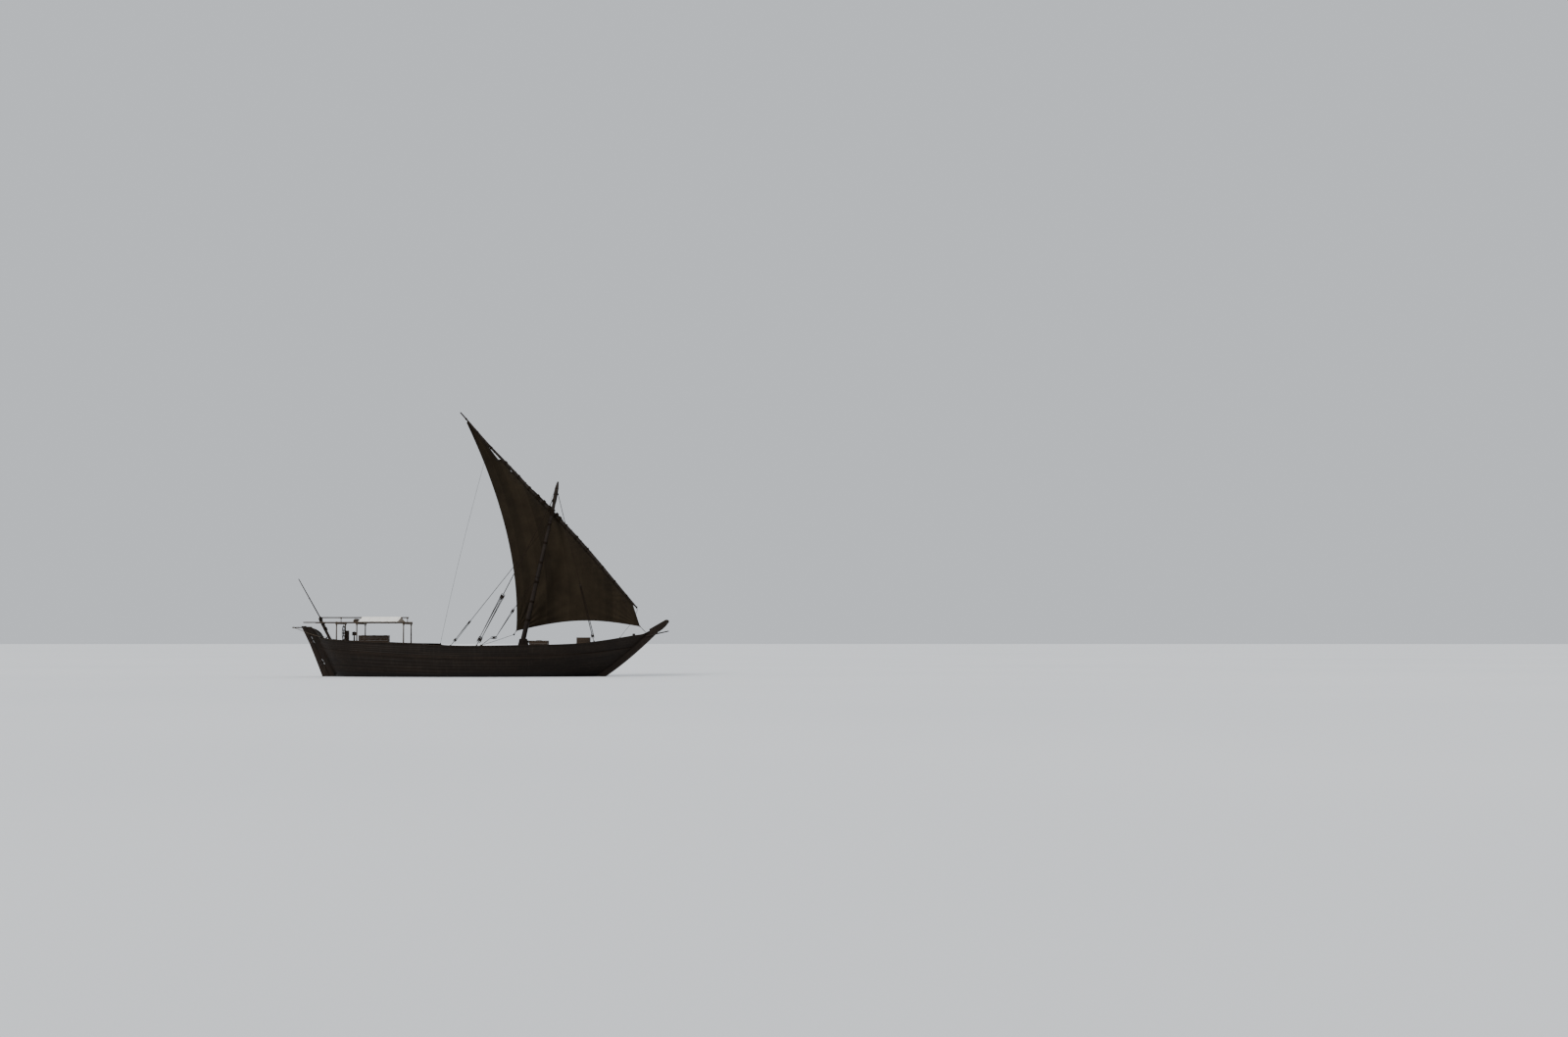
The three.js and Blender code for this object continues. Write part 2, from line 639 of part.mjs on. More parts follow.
// Standing rigging and halyard, all on the starboard side

const railAt = (x) => {
  const next = SECTIONS.findIndex((row) => row.x > x);
  const [low, high] = [SECTIONS[next - 1], SECTIONS[next]];
  const share = (x - low.x) / (high.x - low.x);
  return { y: lerp(low.half, high.half, share) - BULWARK_THICK / 2, z: lerp(low.rail, high.rail, share) };
};

const capTop = solid(loft(SECTIONS.map(railCap).map(mirrored))).translate([0, 0, GAP]);

// A line from the mast at a height to the starboard rail at an X. Parts are cut from it between
// shares of its length, with a radius at each share.
function stay(mastHeight, x) {
  const start = new THREE.Vector3(mastX(mastHeight), 0, mastHeight);
  const rail = railAt(x);
  const end = new THREE.Vector3(x, -rail.y, rail.z);
  end.addScaledVector(end.clone().sub(start).normalize(), INTO_RAIL);
  return (stops) => {
    const path = stops.map(([share]) => start.clone().lerp(end, share).toArray());
    const radii = stops.map(([, radius]) => radius);
    return without(solid(rod(path, radii)), [roundMast, capTop]);
  };
}

// Each line by its height on the mast and its X at the rail, then its stops: share and radius
const forestay = stay(14900, 10670)([[0, 26], [0.62, 26], [0.65, 55], [0.97, 55], [1, 30]]);
const shroud = stay(12300, -580)([[0, 26], [0.8, 26], [0.83, 50], [0.96, 50], [1, 30]]);
const sideTackle = stay(8080, 2350)([[0, 30], [0.9, 30], [0.92, 70], [0.97, 70], [1, 30]]);
const HALYARD = stay(12750, 1740);
const halyard = HALYARD([[0, 30], [0.56, 30], [0.57, 110], [0.6, 110], [0.61, 60]]);
const PURCHASE_TOP = 0.6101;
const purchase = HALYARD([[PURCHASE_TOP, 55], [0.91, 55], [0.92, 110], [0.96, 110], [0.97, 35], [1, 35]]);

// Steering wheel: rim, hub, spokes that run on as handles, and the axle into its stand

function wheel() {
  const { rim: inner, rimOuter: outer, rimHalf: half } = WHEEL;
  const outline = [[inner, -half], [outer, -half], [outer, half], [inner, half], [inner, -half]];
  const profile = outline.map(([radius, along]) => new THREE.Vector2(radius, along));
  const rim = new THREE.LatheGeometry(profile, WHEEL_SIDES);
  const hub = new THREE.CylinderGeometry(HUB.radius, HUB.radius, HUB.length, ROUND_SIDES);
  const axle = new THREE.CylinderGeometry(AXLE.radius, AXLE.radius, AXLE.length, ROUND_SIDES)
    .translate(0, (AXLE_OVERLAP - HUB.length - AXLE.length) / 2, 0);
  const bars = Array.from({ length: WHEEL.spokes / 2 }, (_, i) => {
    const bar = new THREE.CylinderGeometry(SPOKE_RADIUS, SPOKE_RADIUS, 2 * WHEEL.tip, 6);
    return bar.rotateX(Math.PI / 2).rotateY((2 * Math.PI * i) / WHEEL.spokes);
  });
  const pieces = [rim, hub, axle, ...bars].map((piece) =>
    solid(piece.rotateZ(Math.PI / 2).translate(WHEEL.x, 0, WHEEL.z)));
  return joined(pieces);
}

function wheelStand() {
  const { aft, fore, half, rise } = WHEEL_STAND;
  const body = standing(aft, fore, -half, half, poopSeat.top(aft) + rise, poopSeat);
  const bore = (AXLE.radius + RUN_GAP) / Math.cos(Math.PI / ROUND_SIDES);
  const turn = Math.PI / ROUND_SIDES;
  const hole = new THREE.CylinderGeometry(bore, bore, 2 * AXLE.length, ROUND_SIDES, 1, false, turn)
    .rotateZ(Math.PI / 2);
  return body.subtract(solid(hole.translate(aft, 0, WHEEL.z)));
}

// Boxes that stand on a deck and are cut to it

function standing(aft, fore, y0, y1, top, seat) {
  const floor = Math.min(seat.top(aft), seat.top(fore)) - SEAT_DEPTH;
  return solid(box(aft, fore, y0, y1, floor, top)).subtract(seat.below);
}

function hollow(aft, fore, y0, y1, floor, top) {
  return solid(box(aft, fore, y0, y1, floor, top + SEAT_DEPTH));
}

function poopBulkhead() {
  const { thick, half, lip } = BULKHEAD;
  const top = poopSeat.top(POOP_BREAK) + lip;
  return standing(POOP_BREAK, POOP_BREAK + thick, -half, half, top, mainSeat);
}

function bowBitt() {
  const { aft, fore, half, top } = BOW_BITT;
  return standing(aft, fore, -half, half, top, foreSeat);
}

function locker() {
  const { aft, fore, starboard, port, top, wall } = LOCKER;
  const floor = poopSeat.top(aft) + wall;
  const inside = hollow(aft + wall, fore - wall, starboard + wall, port - wall, floor, top);
  return standing(aft, fore, starboard, port, top, poopSeat).subtract(inside);
}

function lockerLid() {
  const { aft, fore, starboard, port, top } = LOCKER;
  const floor = top + GAP;
  const { thick, overhang } = LID;
  return box(aft - overhang, fore + overhang, starboard - overhang, port + overhang, floor, floor + thick);
}

function fireBox() {
  const { aft, fore, half, top, wall, floor } = FIRE_BOX;
  const inside = hollow(aft + wall, fore - wall, wall - half, half - wall, floor, top);
  return standing(aft, fore, -half, half, top, mainSeat).subtract(inside);
}

function hatchCoaming() {
  const { aft, fore, half, wall, top } = HATCH;
  const inside = hollow(aft + wall, fore - wall, wall - half, half - wall, 0, top);
  return standing(aft, fore, -half, half, top, mainSeat).subtract(inside);
}

function hatchCover() {
  const { aft, fore, half, top } = HATCH;
  const over = HATCH_COVER.overhang;
  return box(aft - over, fore + over, -half - over, half + over, top + GAP, top + GAP + HATCH_COVER.thick);
}

function mastBitts() {
  const { aft, fore, half, cheek, top, step } = BITTS;
  const cheeks = [half - cheek, -half].map((y) => standing(aft, fore, y, y + cheek, top, mainSeat));
  const cross = standing(fore - cheek, fore, -half, half, top - step, mainSeat);
  return joined([...cheeks, cross]).subtract(roundMast);
}

function binnacle() {
  const { x, radius, headFoot, headHalf, headTop } = BINNACLE;
  const postTop = (headFoot + headTop) / 2;
  const post = solid(rod([[x, 0, poopSeat.top(x) - SEAT_DEPTH], [x, 0, postTop]], [radius, radius]));
  const head = solid(box(x - headHalf, x + headHalf, -headHalf, headHalf, headFoot, headTop));
  return post.add(head).subtract(poopSeat.below);
}

function ensignStaff() {
  const { foot, tip, radius, tipRadius } = STAFF;
  const start = foot.map((value, i) => value + (value - tip[i]) * STAFF_SEAT);
  return solid(rod([start, tip], [radius, tipRadius])).subtract(poopSeat.below);
}

// Awning frame

function awningPost(x, side) {
  const top = POLE_Z - 3 * POLE_RADIUS - 2 * GAP;
  const path = [[x, side * POLE_Y, poopSeat.top(x) - SEAT_DEPTH], [x, side * POLE_Y, top]];
  return solid(rod(path, POST_RADII)).subtract(poopSeat.below);
}

function crossbeam(x) {
  const z = POLE_Z - 2 * POLE_RADIUS - GAP;
  const beam = solid(rod([[x, -BEAM_HALF, z], [x, BEAM_HALF, z]], [POLE_RADIUS, POLE_RADIUS]));
  const post = solid(rod([[x, 0, z], [x, 0, RIDGE_Z - POLE_RADIUS - GAP]], [KING_RADIUS, KING_RADIUS]));
  return beam.add(post);
}

function pole([aft, fore], y, z) {
  return rod([[aft, y, z], [fore, y, z]], [POLE_RADIUS, POLE_RADIUS]);
}

function awning() {
  const { aft, fore, half, thick } = AWNING;
  const ridge = RIDGE_Z + POLE_RADIUS + GAP;
  const edge = POLE_Z + POLE_RADIUS + AWNING_LIFT;
  const places = [aft, (aft + fore) / 2, fore];
  return loft(places.map((x) => [
    [x, -half, edge],
    [x, 0, ridge],
    [x, half, edge],
    [x, half, edge + thick],
    [x, 0, ridge + thick],
    [x, -half, edge + thick],
  ]));
}

function awningRoll() {
  const { x, half, radius, sides } = AWNING_ROLL;
  const z = RIDGE_Z - POLE_RADIUS - GAP - radius;
  const path = ROLL_SHAPE.map(([share]) => [x, share * half, z]);
  return rod(path, ROLL_SHAPE.map(([, share]) => share * radius), sides);
}

function bumkin() {
  const y = -POST_HALF - BUMKIN.radii[0] - GAP;
  const path = [BUMKIN.aft, BUMKIN.fore].map(([x, z]) => [x, y, z]);
  return solid(rod(path, BUMKIN.radii)).subtract(capTop.translate([0, 0, -2 * GAP]));
}

// The boat

add('hull', hull(), HULL_WOOD);
add('keel', keel(), HULL_WOOD);
add('stem', stem(), TRIM_WOOD);
add('sternpost', sternpost(), TRIM_WOOD);
add('bulwark_port', framedBulwark, HULL_WOOD);
add('bulwark_starboard', framedBulwark.mirror([0, 1, 0]), HULL_WOOD);
addSides('rail_cap', railCap, TRIM_WOOD);
addSides('wale', wale, TRIM_WOOD);
add('main_deck', deck(GAP, DECK_THICK, POOP_BREAK, FAR), DECK_WOOD);
add('poop_deck', deck(GAP, DECK_THICK + POOP_RISE, -FAR, POOP_BREAK - GAP), DECK_WOOD);
add('foredeck', foredeck(), DECK_WOOD);
add('poop_bulkhead', poopBulkhead(), TRIM_WOOD);
add('bow_bitt', bowBitt(), TRIM_WOOD);
add('bumkin', bumkin(), SPAR_WOOD);
add('hatch_coaming', hatchCoaming(), TRIM_WOOD);
add('hatch_cover', hatchCover(), DECK_WOOD);
add('water_tank', standing(TANK.aft, TANK.fore, -TANK.half, TANK.half, TANK.top, mainSeat), DECK_WOOD);
add('fire_box', fireBox(), DECK_WOOD);
add('mast', mastShape(0).subtract(mainSeat.below), SPAR_WOOD);
add('mast_bitts', mastBitts(), TRIM_WOOD);
add('parrel', parrel(), ROPE);
add('yard', yard(), SPAR_WOOD);
add('sail', solid(sail()).subtract(solid(yard(GAP))), CANVAS);
add('forestay', forestay, ROPE);
add('shroud', shroud, ROPE);
add('side_tackle', sideTackle, ROPE);
add('halyard', halyard, ROPE);
add('halyard_purchase', purchase, ROPE);
add('rudder', rudder(), HULL_WOOD);
add('steering_arm', steeringArm(), SPAR_WOOD);
add('wheel', wheel(), TRIM_WOOD);
add('wheel_stand', wheelStand(), TRIM_WOOD);
add('binnacle', binnacle(), TRIM_WOOD);
add('poop_locker', locker(), DECK_WOOD);
add('poop_locker_lid', lockerLid(), DECK_WOOD);
add('ensign_staff', ensignStaff(), SPAR_WOOD);
add('ridge_pole', pole(RIDGE_POLE, 0, RIDGE_Z), SPAR_WOOD);
add('side_pole_port', pole(SIDE_POLE, POLE_Y, POLE_Z), SPAR_WOOD);
add('side_pole_starboard', pole(SIDE_POLE, -POLE_Y, POLE_Z), SPAR_WOOD);
FRAME_PLACES.forEach((x, i) => {
  add(`awning_post_port_${i + 1}`, awningPost(x, 1), SPAR_WOOD);
  add(`awning_post_starboard_${i + 1}`, awningPost(x, -1), SPAR_WOOD);
  add(`awning_beam_${i + 1}`, crossbeam(x), SPAR_WOOD);
});
add('awning', awning(), AWNING_CLOTH);
add('awning_roll', awningRoll(), AWNING_CLOTH);

export default group;
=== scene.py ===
"""A wooden dhow under sail, dressed over its frame.

Metres, with +X towards the bow, +Y to port and +Z up from the waterline.
"""

import math
from dataclasses import dataclass, replace
from functools import partialmethod

import bpy
import numpy as np
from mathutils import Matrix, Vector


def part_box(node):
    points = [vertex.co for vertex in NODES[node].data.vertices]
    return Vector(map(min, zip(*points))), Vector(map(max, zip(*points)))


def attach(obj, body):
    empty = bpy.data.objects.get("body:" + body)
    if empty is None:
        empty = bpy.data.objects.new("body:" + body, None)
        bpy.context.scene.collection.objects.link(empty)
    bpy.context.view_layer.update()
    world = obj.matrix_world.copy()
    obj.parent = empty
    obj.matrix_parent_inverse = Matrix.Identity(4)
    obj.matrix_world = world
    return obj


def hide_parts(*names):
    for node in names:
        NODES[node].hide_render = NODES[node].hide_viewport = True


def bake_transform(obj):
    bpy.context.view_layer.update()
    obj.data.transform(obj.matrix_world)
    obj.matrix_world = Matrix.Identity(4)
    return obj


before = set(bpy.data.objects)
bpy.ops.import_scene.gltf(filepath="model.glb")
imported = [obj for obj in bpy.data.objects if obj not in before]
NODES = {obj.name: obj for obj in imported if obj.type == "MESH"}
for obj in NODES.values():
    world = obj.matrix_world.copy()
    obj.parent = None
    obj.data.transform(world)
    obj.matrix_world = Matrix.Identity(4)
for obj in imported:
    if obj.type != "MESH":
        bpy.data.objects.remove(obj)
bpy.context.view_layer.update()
TAU = 2 * math.pi
# How far the sternpost leans aft for each metre of height, and the angle of that
POST_LEAN = 0.495
RAKE = math.atan(POST_LEAN)


def put(name, data):
    """A new object in the scene."""
    made = bpy.data.objects.new(name, data)
    bpy.context.scene.collection.objects.link(made)
    return made


# Camera, first of all

EYE = (26.04, -178.0, 2.8)
LENS = 50.0
SENSOR = 36.0
# In the photograph's pixels: how far the horizon lies under its middle, and the lens's length
HORIZON_DROP_PX = 126
LENS_PX = 2222
HORIZON_RISE = math.atan(HORIZON_DROP_PX / LENS_PX)


def camera():
    """The photograph's camera: low over the water, abeam, tipped up to put the horizon low."""
    data = bpy.data.cameras.new("camera")
    data.lens = LENS
    data.sensor_width = SENSOR
    data.clip_end = 6000.0
    view = put("camera", data)
    view.location = EYE
    view.rotation_euler = (math.radians(90) + HORIZON_RISE, 0, 0)
    bpy.context.scene.camera = view


camera()


# Vectors and curves


def unit(vectors):
    """Vectors of length one."""
    vectors = np.asarray(vectors, float)
    return vectors / np.maximum(np.linalg.norm(vectors, axis=-1, keepdims=True), 1e-12)


def mix(a, b, share):
    """The point a share of the way from a to b."""
    return a + (b - a) * share


def even(count):
    """Even shares from 0 to 1."""
    return np.linspace(0, 1, count)


def hump(share):
    """Half a sine wave: nothing at shares 0 and 1, and one between them."""
    return np.sin(math.pi * share)


def spots(*coordinates):
    """Places from their coordinates, each an array or one number."""
    return np.stack(np.broadcast_arrays(*coordinates), axis=-1)


def distances(path):
    """How far each point of a path lies from its first one, along the path."""
    step = np.linalg.norm(np.diff(path, axis=0), axis=1)
    return np.concatenate([[0], np.cumsum(step)])


def angles(count):
    """Even angles once round."""
    return np.arange(count) * TAU / count


def line(start, end, count=2):
    """Evenly spaced points from start to end."""
    start, end = np.asarray(start, float), np.asarray(end, float)
    return mix(start, end, even(count)[:, None])


def smooth(places, values, at):
    """A cubic through values at places, whose slope is nought at every peak, so it never
    overshoots; its slope elsewhere is the harmonic mean of the slopes on either side."""
    places, values = np.asarray(places, float), np.asarray(values, float)
    step = np.diff(places)
    rise = np.diff(values) / step
    same = rise[:-1] * rise[1:] > 0
    safe = np.where(same, rise[:-1] + rise[1:], 1)
    inner = np.where(same, 2 * rise[:-1] * rise[1:] / safe, 0)
    slope = np.concatenate([rise[:1], inner, rise[-1:]])
    k = np.clip(np.searchsorted(places, at, side="right") - 1, 0, len(step) - 1)
    t = (at - places[k]) / step[k]
    a, b = values[k], values[k + 1]
    c, d = slope[k] * step[k], slope[k + 1] * step[k]
    ends = a * (2 * t**3 - 3 * t**2 + 1) + b * (3 * t**2 - 2 * t**3)
    return ends + c * (t**3 - 2 * t**2 + t) + d * (t**3 - t**2)


def wander(places, seed, scale=1.0):
    """A slow wave of about one in height: three sines whose phases the seed picks."""
    phase = np.random.default_rng(seed).uniform(0, TAU, 3)
    x = places / scale
    waves = zip((1.0, 0.6, 0.4), (1.0, 2.3, 4.1), phase)
    return sum(height * np.sin(rate * x + start) for height, rate, start in waves) / 2


# Shapes: points, faces as corners with a count for each, a map place for each corner, and for
# each face its shade, how much of an edge it is and whether it is shaded smooth


@dataclass
class Shape:
    """A set of closed surfaces that becomes one piece."""

    points: np.ndarray
    corners: np.ndarray
    counts: np.ndarray
    uv: np.ndarray
    shade: np.ndarray
    edge: np.ndarray
    soft: np.ndarray

    def outward(self):
        """Turns every face round where the enclosed volume comes out negative."""
        starts = np.cumsum(self.counts) - self.counts
        ends = starts + self.counts - 1
        first = np.repeat(self.points[self.corners[starts]], self.counts, axis=0)
        here = self.points[self.corners]
        follow = np.arange(len(self.corners)) + 1
        follow[ends] = starts
        there = self.points[self.corners[follow]]
        if np.sum(np.cross(here, there) * first) < 0:
            place = np.arange(len(self.corners)) - np.repeat(starts, self.counts)
            backwards = np.repeat(ends, self.counts) - place
            self.corners, self.uv = self.corners[backwards], self.uv[backwards]
        return self

    def moved(self, matrix, shift):
        """The same shape turned by a 3 by 3 matrix and then shifted."""
        return replace(self, points=self.points @ matrix.T + shift)


PER_FACE = ("counts", "uv", "shade", "edge", "soft")


def joined(shapes, label):
    """One array of every shape, end to end."""
    return np.concatenate([getattr(shape, label) for shape in shapes])


def together(shapes):
    """Several shapes as one."""
    shifts = np.cumsum([0] + [len(shape.points) for shape in shapes])
    corners = [shape.corners + shift for shape, shift in zip(shapes, shifts)]
    rest = (joined(shapes, label) for label in PER_FACE)
    return Shape(joined(shapes, "points"), np.concatenate(corners), *rest)


def surface(points, wrap=False, caps=False, uv=None, shade=0.5, soft=True):
    """Faces over a grid of points. The grid's columns close round where wrap is set, and its
    first and last rows are filled where caps is set. The map runs along the rows' path in
    metres and then across it, unless uv gives it, one column wider where the grid wraps."""
    rows, columns = points.shape[:2]
    around = columns if wrap else columns - 1
    if uv is None:
        along = np.linalg.norm(np.diff(points, axis=0), axis=2).mean(axis=1)
        loop = np.concatenate([points, points[:, :1]], axis=1)[:, : around + 1]
        across = np.linalg.norm(np.diff(loop, axis=1), axis=2).mean(axis=0)
        u = np.concatenate([[0], np.cumsum(along)])
        v = np.concatenate([[0], np.cumsum(across)])
        uv = np.stack(np.meshgrid(u, v, indexing="ij"), axis=-1)
    i = np.arange(rows - 1)[:, None] * columns
    j = np.arange(around)[None, :]
    k = (j + 1) % columns
    quads = spots(i + j, i + k, i + columns + k, i + columns + j).reshape(-1, 4)
    patches = [uv[:-1, :-1], uv[:-1, 1:], uv[1:, 1:], uv[1:, :-1]]
    map_places = np.stack(patches, axis=2).reshape(-1, 2)
    faces = len(quads)
    shades = np.broadcast_to(np.asarray(shade, float), (rows - 1, around)).reshape(-1)
    corners, counts = [quads.ravel()], [np.full(faces, 4)]
    places, softs = [map_places], [np.full(faces, soft)]
    if caps:
        for row, turn in ((0, -1), (rows - 1, 1)):
            corners.append((row * columns + np.arange(columns))[::turn])
            counts.append(np.array([columns]))
            places.append(np.tile(uv[row, 0], (columns, 1)))
            softs.append(np.array([False]))
            shades = np.append(shades, shades[0 if row == 0 else faces - 1])
    corners, counts, places, softs = map(np.concatenate, (corners, counts, places, softs))
    return Shape(points.reshape(-1, 3), corners, counts, places, shades, np.zeros(len(shades)), softs)


def sweep(path, outline, up=(0, 0, 1), shade=0.5, soft=True, closed=False):
    """Carries an outline along a path. Each ring stands square to the path, with the
    outline's second axis turned towards up. A closed path joins its ends."""
    path = np.asarray(path, float)
    if closed:
        along = unit(np.roll(path, -1, axis=0) - np.roll(path, 1, axis=0))
    else:
        along = unit(np.gradient(path, axis=0))
    side = unit(np.cross(along, up))
    top = np.cross(side, along)
    outline = np.broadcast_to(outline, (len(path),) + np.shape(outline)[-2:])
    points = path[:, None] + outline[..., :1] * side[:, None] + outline[..., 1:] * top[:, None]
    if closed:
        points = np.concatenate([points, points[:1]])
        shape = surface(points, wrap=True, shade=shade, soft=soft)
        columns = points.shape[1]
        last = (len(points) - 1) * columns
        shape.corners = np.where(shape.corners >= last, shape.corners - last, shape.corners)
        shape.points = shape.points[:last]
        return shape.outward()
    return surface(points, wrap=True, caps=True, shade=shade, soft=soft).outward()


def ring(radius, sides=16, turn=0.0):
    """A circle of points, one for each radius that is given."""
    angle = angles(sides) + turn
    circle = spots(np.cos(angle), np.sin(angle))
    return np.asarray(radius, float)[..., None, None] * circle


def spar(path, radii, sides=24, seed=0, rough=0.0, up=(0, 0, 1)):
    """A round spar along a path. Its radius wanders by the share rough, in slow waves along
    it and three lobes round it."""
    path = np.asarray(path, float)
    radii = np.broadcast_to(np.asarray(radii, float), len(path))
    length = distances(path)
    angle = angles(sides)
    lobes = np.sin(3 * angle[None] + wander(length, seed, 1.7)[:, None] * 2)
    swell = 1 + rough * (wander(length, seed + 1, 0.9)[:, None] + 0.5 * lobes)
    return sweep(path, ring(radii, sides) * swell[..., None], up=up)


def rope(path, radius, up=(0, 0, 1), sides=8, closed=False):
    """A rope along a path: a round section, whose strands the material's lay draws."""
    return sweep(path, ring(np.full(len(path), radius), sides), up=up, closed=closed)


CUBE = np.array([[x, y, z] for x in (-1, 1) for y in (-1, 1) for z in (-1, 1)], float)


def box_corner(axes, signs):
    """The number of the corner whose place on each axis is a sign."""
    corner = np.zeros(3)
    corner[list(axes)] = signs
    return int(np.flatnonzero((CUBE == corner).all(axis=1))[0])


def chamfered_box():
    """The faces of a box with cut edges: three points near each of the eight corners, six
    main faces, twelve edge strips and eight corner triangles, each turned outwards."""
    owner = np.repeat(CUBE, 3, axis=0)
    pulled = np.tile(np.eye(3), (8, 1))
    mains, strips = [], []
    for axis in range(3):
        b, c = [i for i in range(3) if i != axis]
        for sign in (-1, 1):
            mains.append([3 * box_corner((axis, b, c), (sign, *way)) + axis
                          for way in ((-1, -1), (1, -1), (1, 1), (-1, 1))])
        for sb in (-1, 1):
            for sc in (-1, 1):
                near, far = (3 * box_corner((axis, b, c), (sa, sb, sc)) for sa in (-1, 1))
                strips.append([near + b, far + b, far + c, near + c])
    faces = mains + strips + [[3 * i, 3 * i + 1, 3 * i + 2] for i in range(8)]
    edges = [0] * len(mains) + [1] * (len(faces) - len(mains))
    unit_box = owner * (0.8 + 0.2 * pulled)
    outwards = []
    for face in faces:
        a, b, c = (unit_box[i] for i in face[:3])
        out = np.dot(np.cross(b - a, c - a), unit_box[face].mean(axis=0)) > 0
        outwards.append(face if out else face[::-1])
    return owner, pulled, outwards, edges


BOX_OWNER, BOX_PULLED, BOX_FACES, BOX_EDGES = chamfered_box()
BOX_CORNERS = np.concatenate(BOX_FACES)
BOX_COUNTS = np.array([len(face) for face in BOX_FACES])


def timbers(starts, ends, widths, depths, up=(0, 0, 1), cut=0.008, seed=1):
    """Squared timbers from starts to ends: each is a box, as wide as widths and as deep as
    depths towards up, with its edges cut by cut. The map runs along each in metres."""
    starts, ends = np.atleast_2d(starts).astype(float), np.atleast_2d(ends).astype(float)
    count = len(starts)
    along = unit(ends - starts)
    side = unit(np.cross(along, up))
    top = np.cross(side, along)
    halves = spots(np.linalg.norm(ends - starts, axis=1), widths, depths) / 2
    chamfer = np.minimum(cut, halves.min(axis=1) * 0.45)[:, None, None]
    local = BOX_OWNER[None] * (halves[:, None] - chamfer * (1 - BOX_PULLED[None]))
    axes = np.stack([along, side, top], axis=1)
    middle = (starts + ends) / 2
    points = middle[:, None] + np.einsum("kpa,kab->kpb", local, axes)
    corners = (BOX_CORNERS[None] + np.arange(count)[:, None] * len(BOX_OWNER)).ravel()
    rng = np.random.default_rng(seed)
    shades = rng.uniform(0, 1, count)
    offset = rng.uniform(0, 20, (count, 1, 2))
    face_axis = np.repeat([0, 0, 1, 1, 2, 2] + [0] * 20, BOX_COUNTS)
    here = local[:, BOX_CORNERS]
    u = here[..., 0] + here[..., 1] * (face_axis == 0)
    v = np.where(face_axis == 2, here[..., 1], here[..., 2])
    places = (spots(u, v) + offset).reshape(-1, 2)
    shade, edge = np.repeat(shades, len(BOX_COUNTS)), np.tile(BOX_EDGES, count).astype(float)
    return Shape(points.reshape(-1, 3), corners, np.tile(BOX_COUNTS, count), places, shade, edge,
                 np.zeros(len(shade), bool))


def turned(start, end, places, radii, sides=20, shade=0.5):
    """A piece turned on a lathe from start to end: radii at shares of its length, with the
    curve of smooth() between them."""
    share = np.unique(np.concatenate([even(28), places]))
    start, end = np.asarray(start, float), np.asarray(end, float)
    along = unit(end - start)
    up = (0, 0, 1) if abs(along[2]) < 0.9 else (1, 0, 0)
    path = mix(start, end, share[:, None])
    return sweep(path, ring(smooth(places, radii, share), sides), up=up, shade=shade)


def coil(centre, axis, radius, turns, thick, steps=20):
    """Turns of rope round an axis: a helix that climbs one rope's thickness in a turn."""
    axis = unit(axis)
    across = unit(np.cross(axis, (0.31, 0.95, 0.13)))
    other = np.cross(axis, across)
    angle = np.linspace(0, TAU * turns, int(steps * turns) + 1)[:, None]
    out = np.cos(angle) * across + np.sin(angle) * other
    climb = (angle / TAU - turns / 2) * 2 * thick
    return rope(centre + radius * out + climb * axis, thick, up=out, sides=6)


def shell(points, thick, uv=None, shade=0.5):
    """A thin closed sheet: the grid of points moved half its thickness each way along the
    grid's own normals, and joined round the edge."""
    du, dv = np.gradient(points, axis=0), np.gradient(points, axis=1)
    normal = unit(np.cross(du, dv))
    rows, columns = points.shape[:2]
    near = surface(points + normal * thick / 2, uv=uv, shade=shade)
    far = surface(points - normal * thick / 2, uv=uv, shade=shade)
    far.corners = far.corners.reshape(-1, 4)[:, ::-1].ravel()
    far.uv = far.uv.reshape(-1, 4, 2)[:, ::-1].reshape(-1, 2)
    rim = np.concatenate([
        np.arange(columns),
        np.arange(1, rows) * columns + columns - 1,
        (rows - 1) * columns + np.arange(columns - 2, -1, -1),
        np.arange(rows - 2, 0, -1) * columns,
    ])
    after = np.roll(rim, -1)
    total = rows * columns
    wall = spots(rim, rim + total, after + total, after)
    grid_uv = np.zeros((total, 2)) if uv is None else uv.reshape(-1, 2)
    wall_uv = grid_uv[spots(rim, rim, after, after)].reshape(-1, 2)
    count = len(wall)
    edge = Shape(np.zeros((0, 3)), wall.ravel(), np.full(count, 4), wall_uv,
                 np.full(count, float(np.mean(shade))), np.ones(count), np.zeros(count, bool))
    whole = together([near, far])
    faces = (joined([whole, edge], label) for label in ("corners", *PER_FACE))
    return Shape(whole.points, *faces).outward()


def piece(name, shapes, finish, body="boat", replaced=(), ride=True):
    """One named piece from shapes, with its finish, which is a material and a slot, and the
    body that carries it. The slot is not used."""
    material, slot = finish
    shape = together(shapes) if isinstance(shapes, list) else shapes
    mesh = bpy.data.meshes.new(name)
    starts = np.cumsum(shape.counts)[:-1]
    faces = [part.tolist() for part in np.split(shape.corners, starts)]
    mesh.from_pydata(shape.points.tolist(), [], faces)
    mesh.uv_layers.new(name="map").data.foreach_set("uv", shape.uv.astype(np.float32).ravel())
    for label, values in (("shade", shape.shade), ("edge", shape.edge)):
        attribute = mesh.attributes.new(label, "FLOAT", "FACE")
        attribute.data.foreach_set("value", values.astype(np.float32))
    mesh.polygons.foreach_set("use_smooth", shape.soft.astype(bool))
    mesh.materials.append(material)
    mesh.update()
    made = put(name, mesh)
    if ride:
        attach(made, body)
    if replaced:
        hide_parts(*replaced)
    return made


# Materials


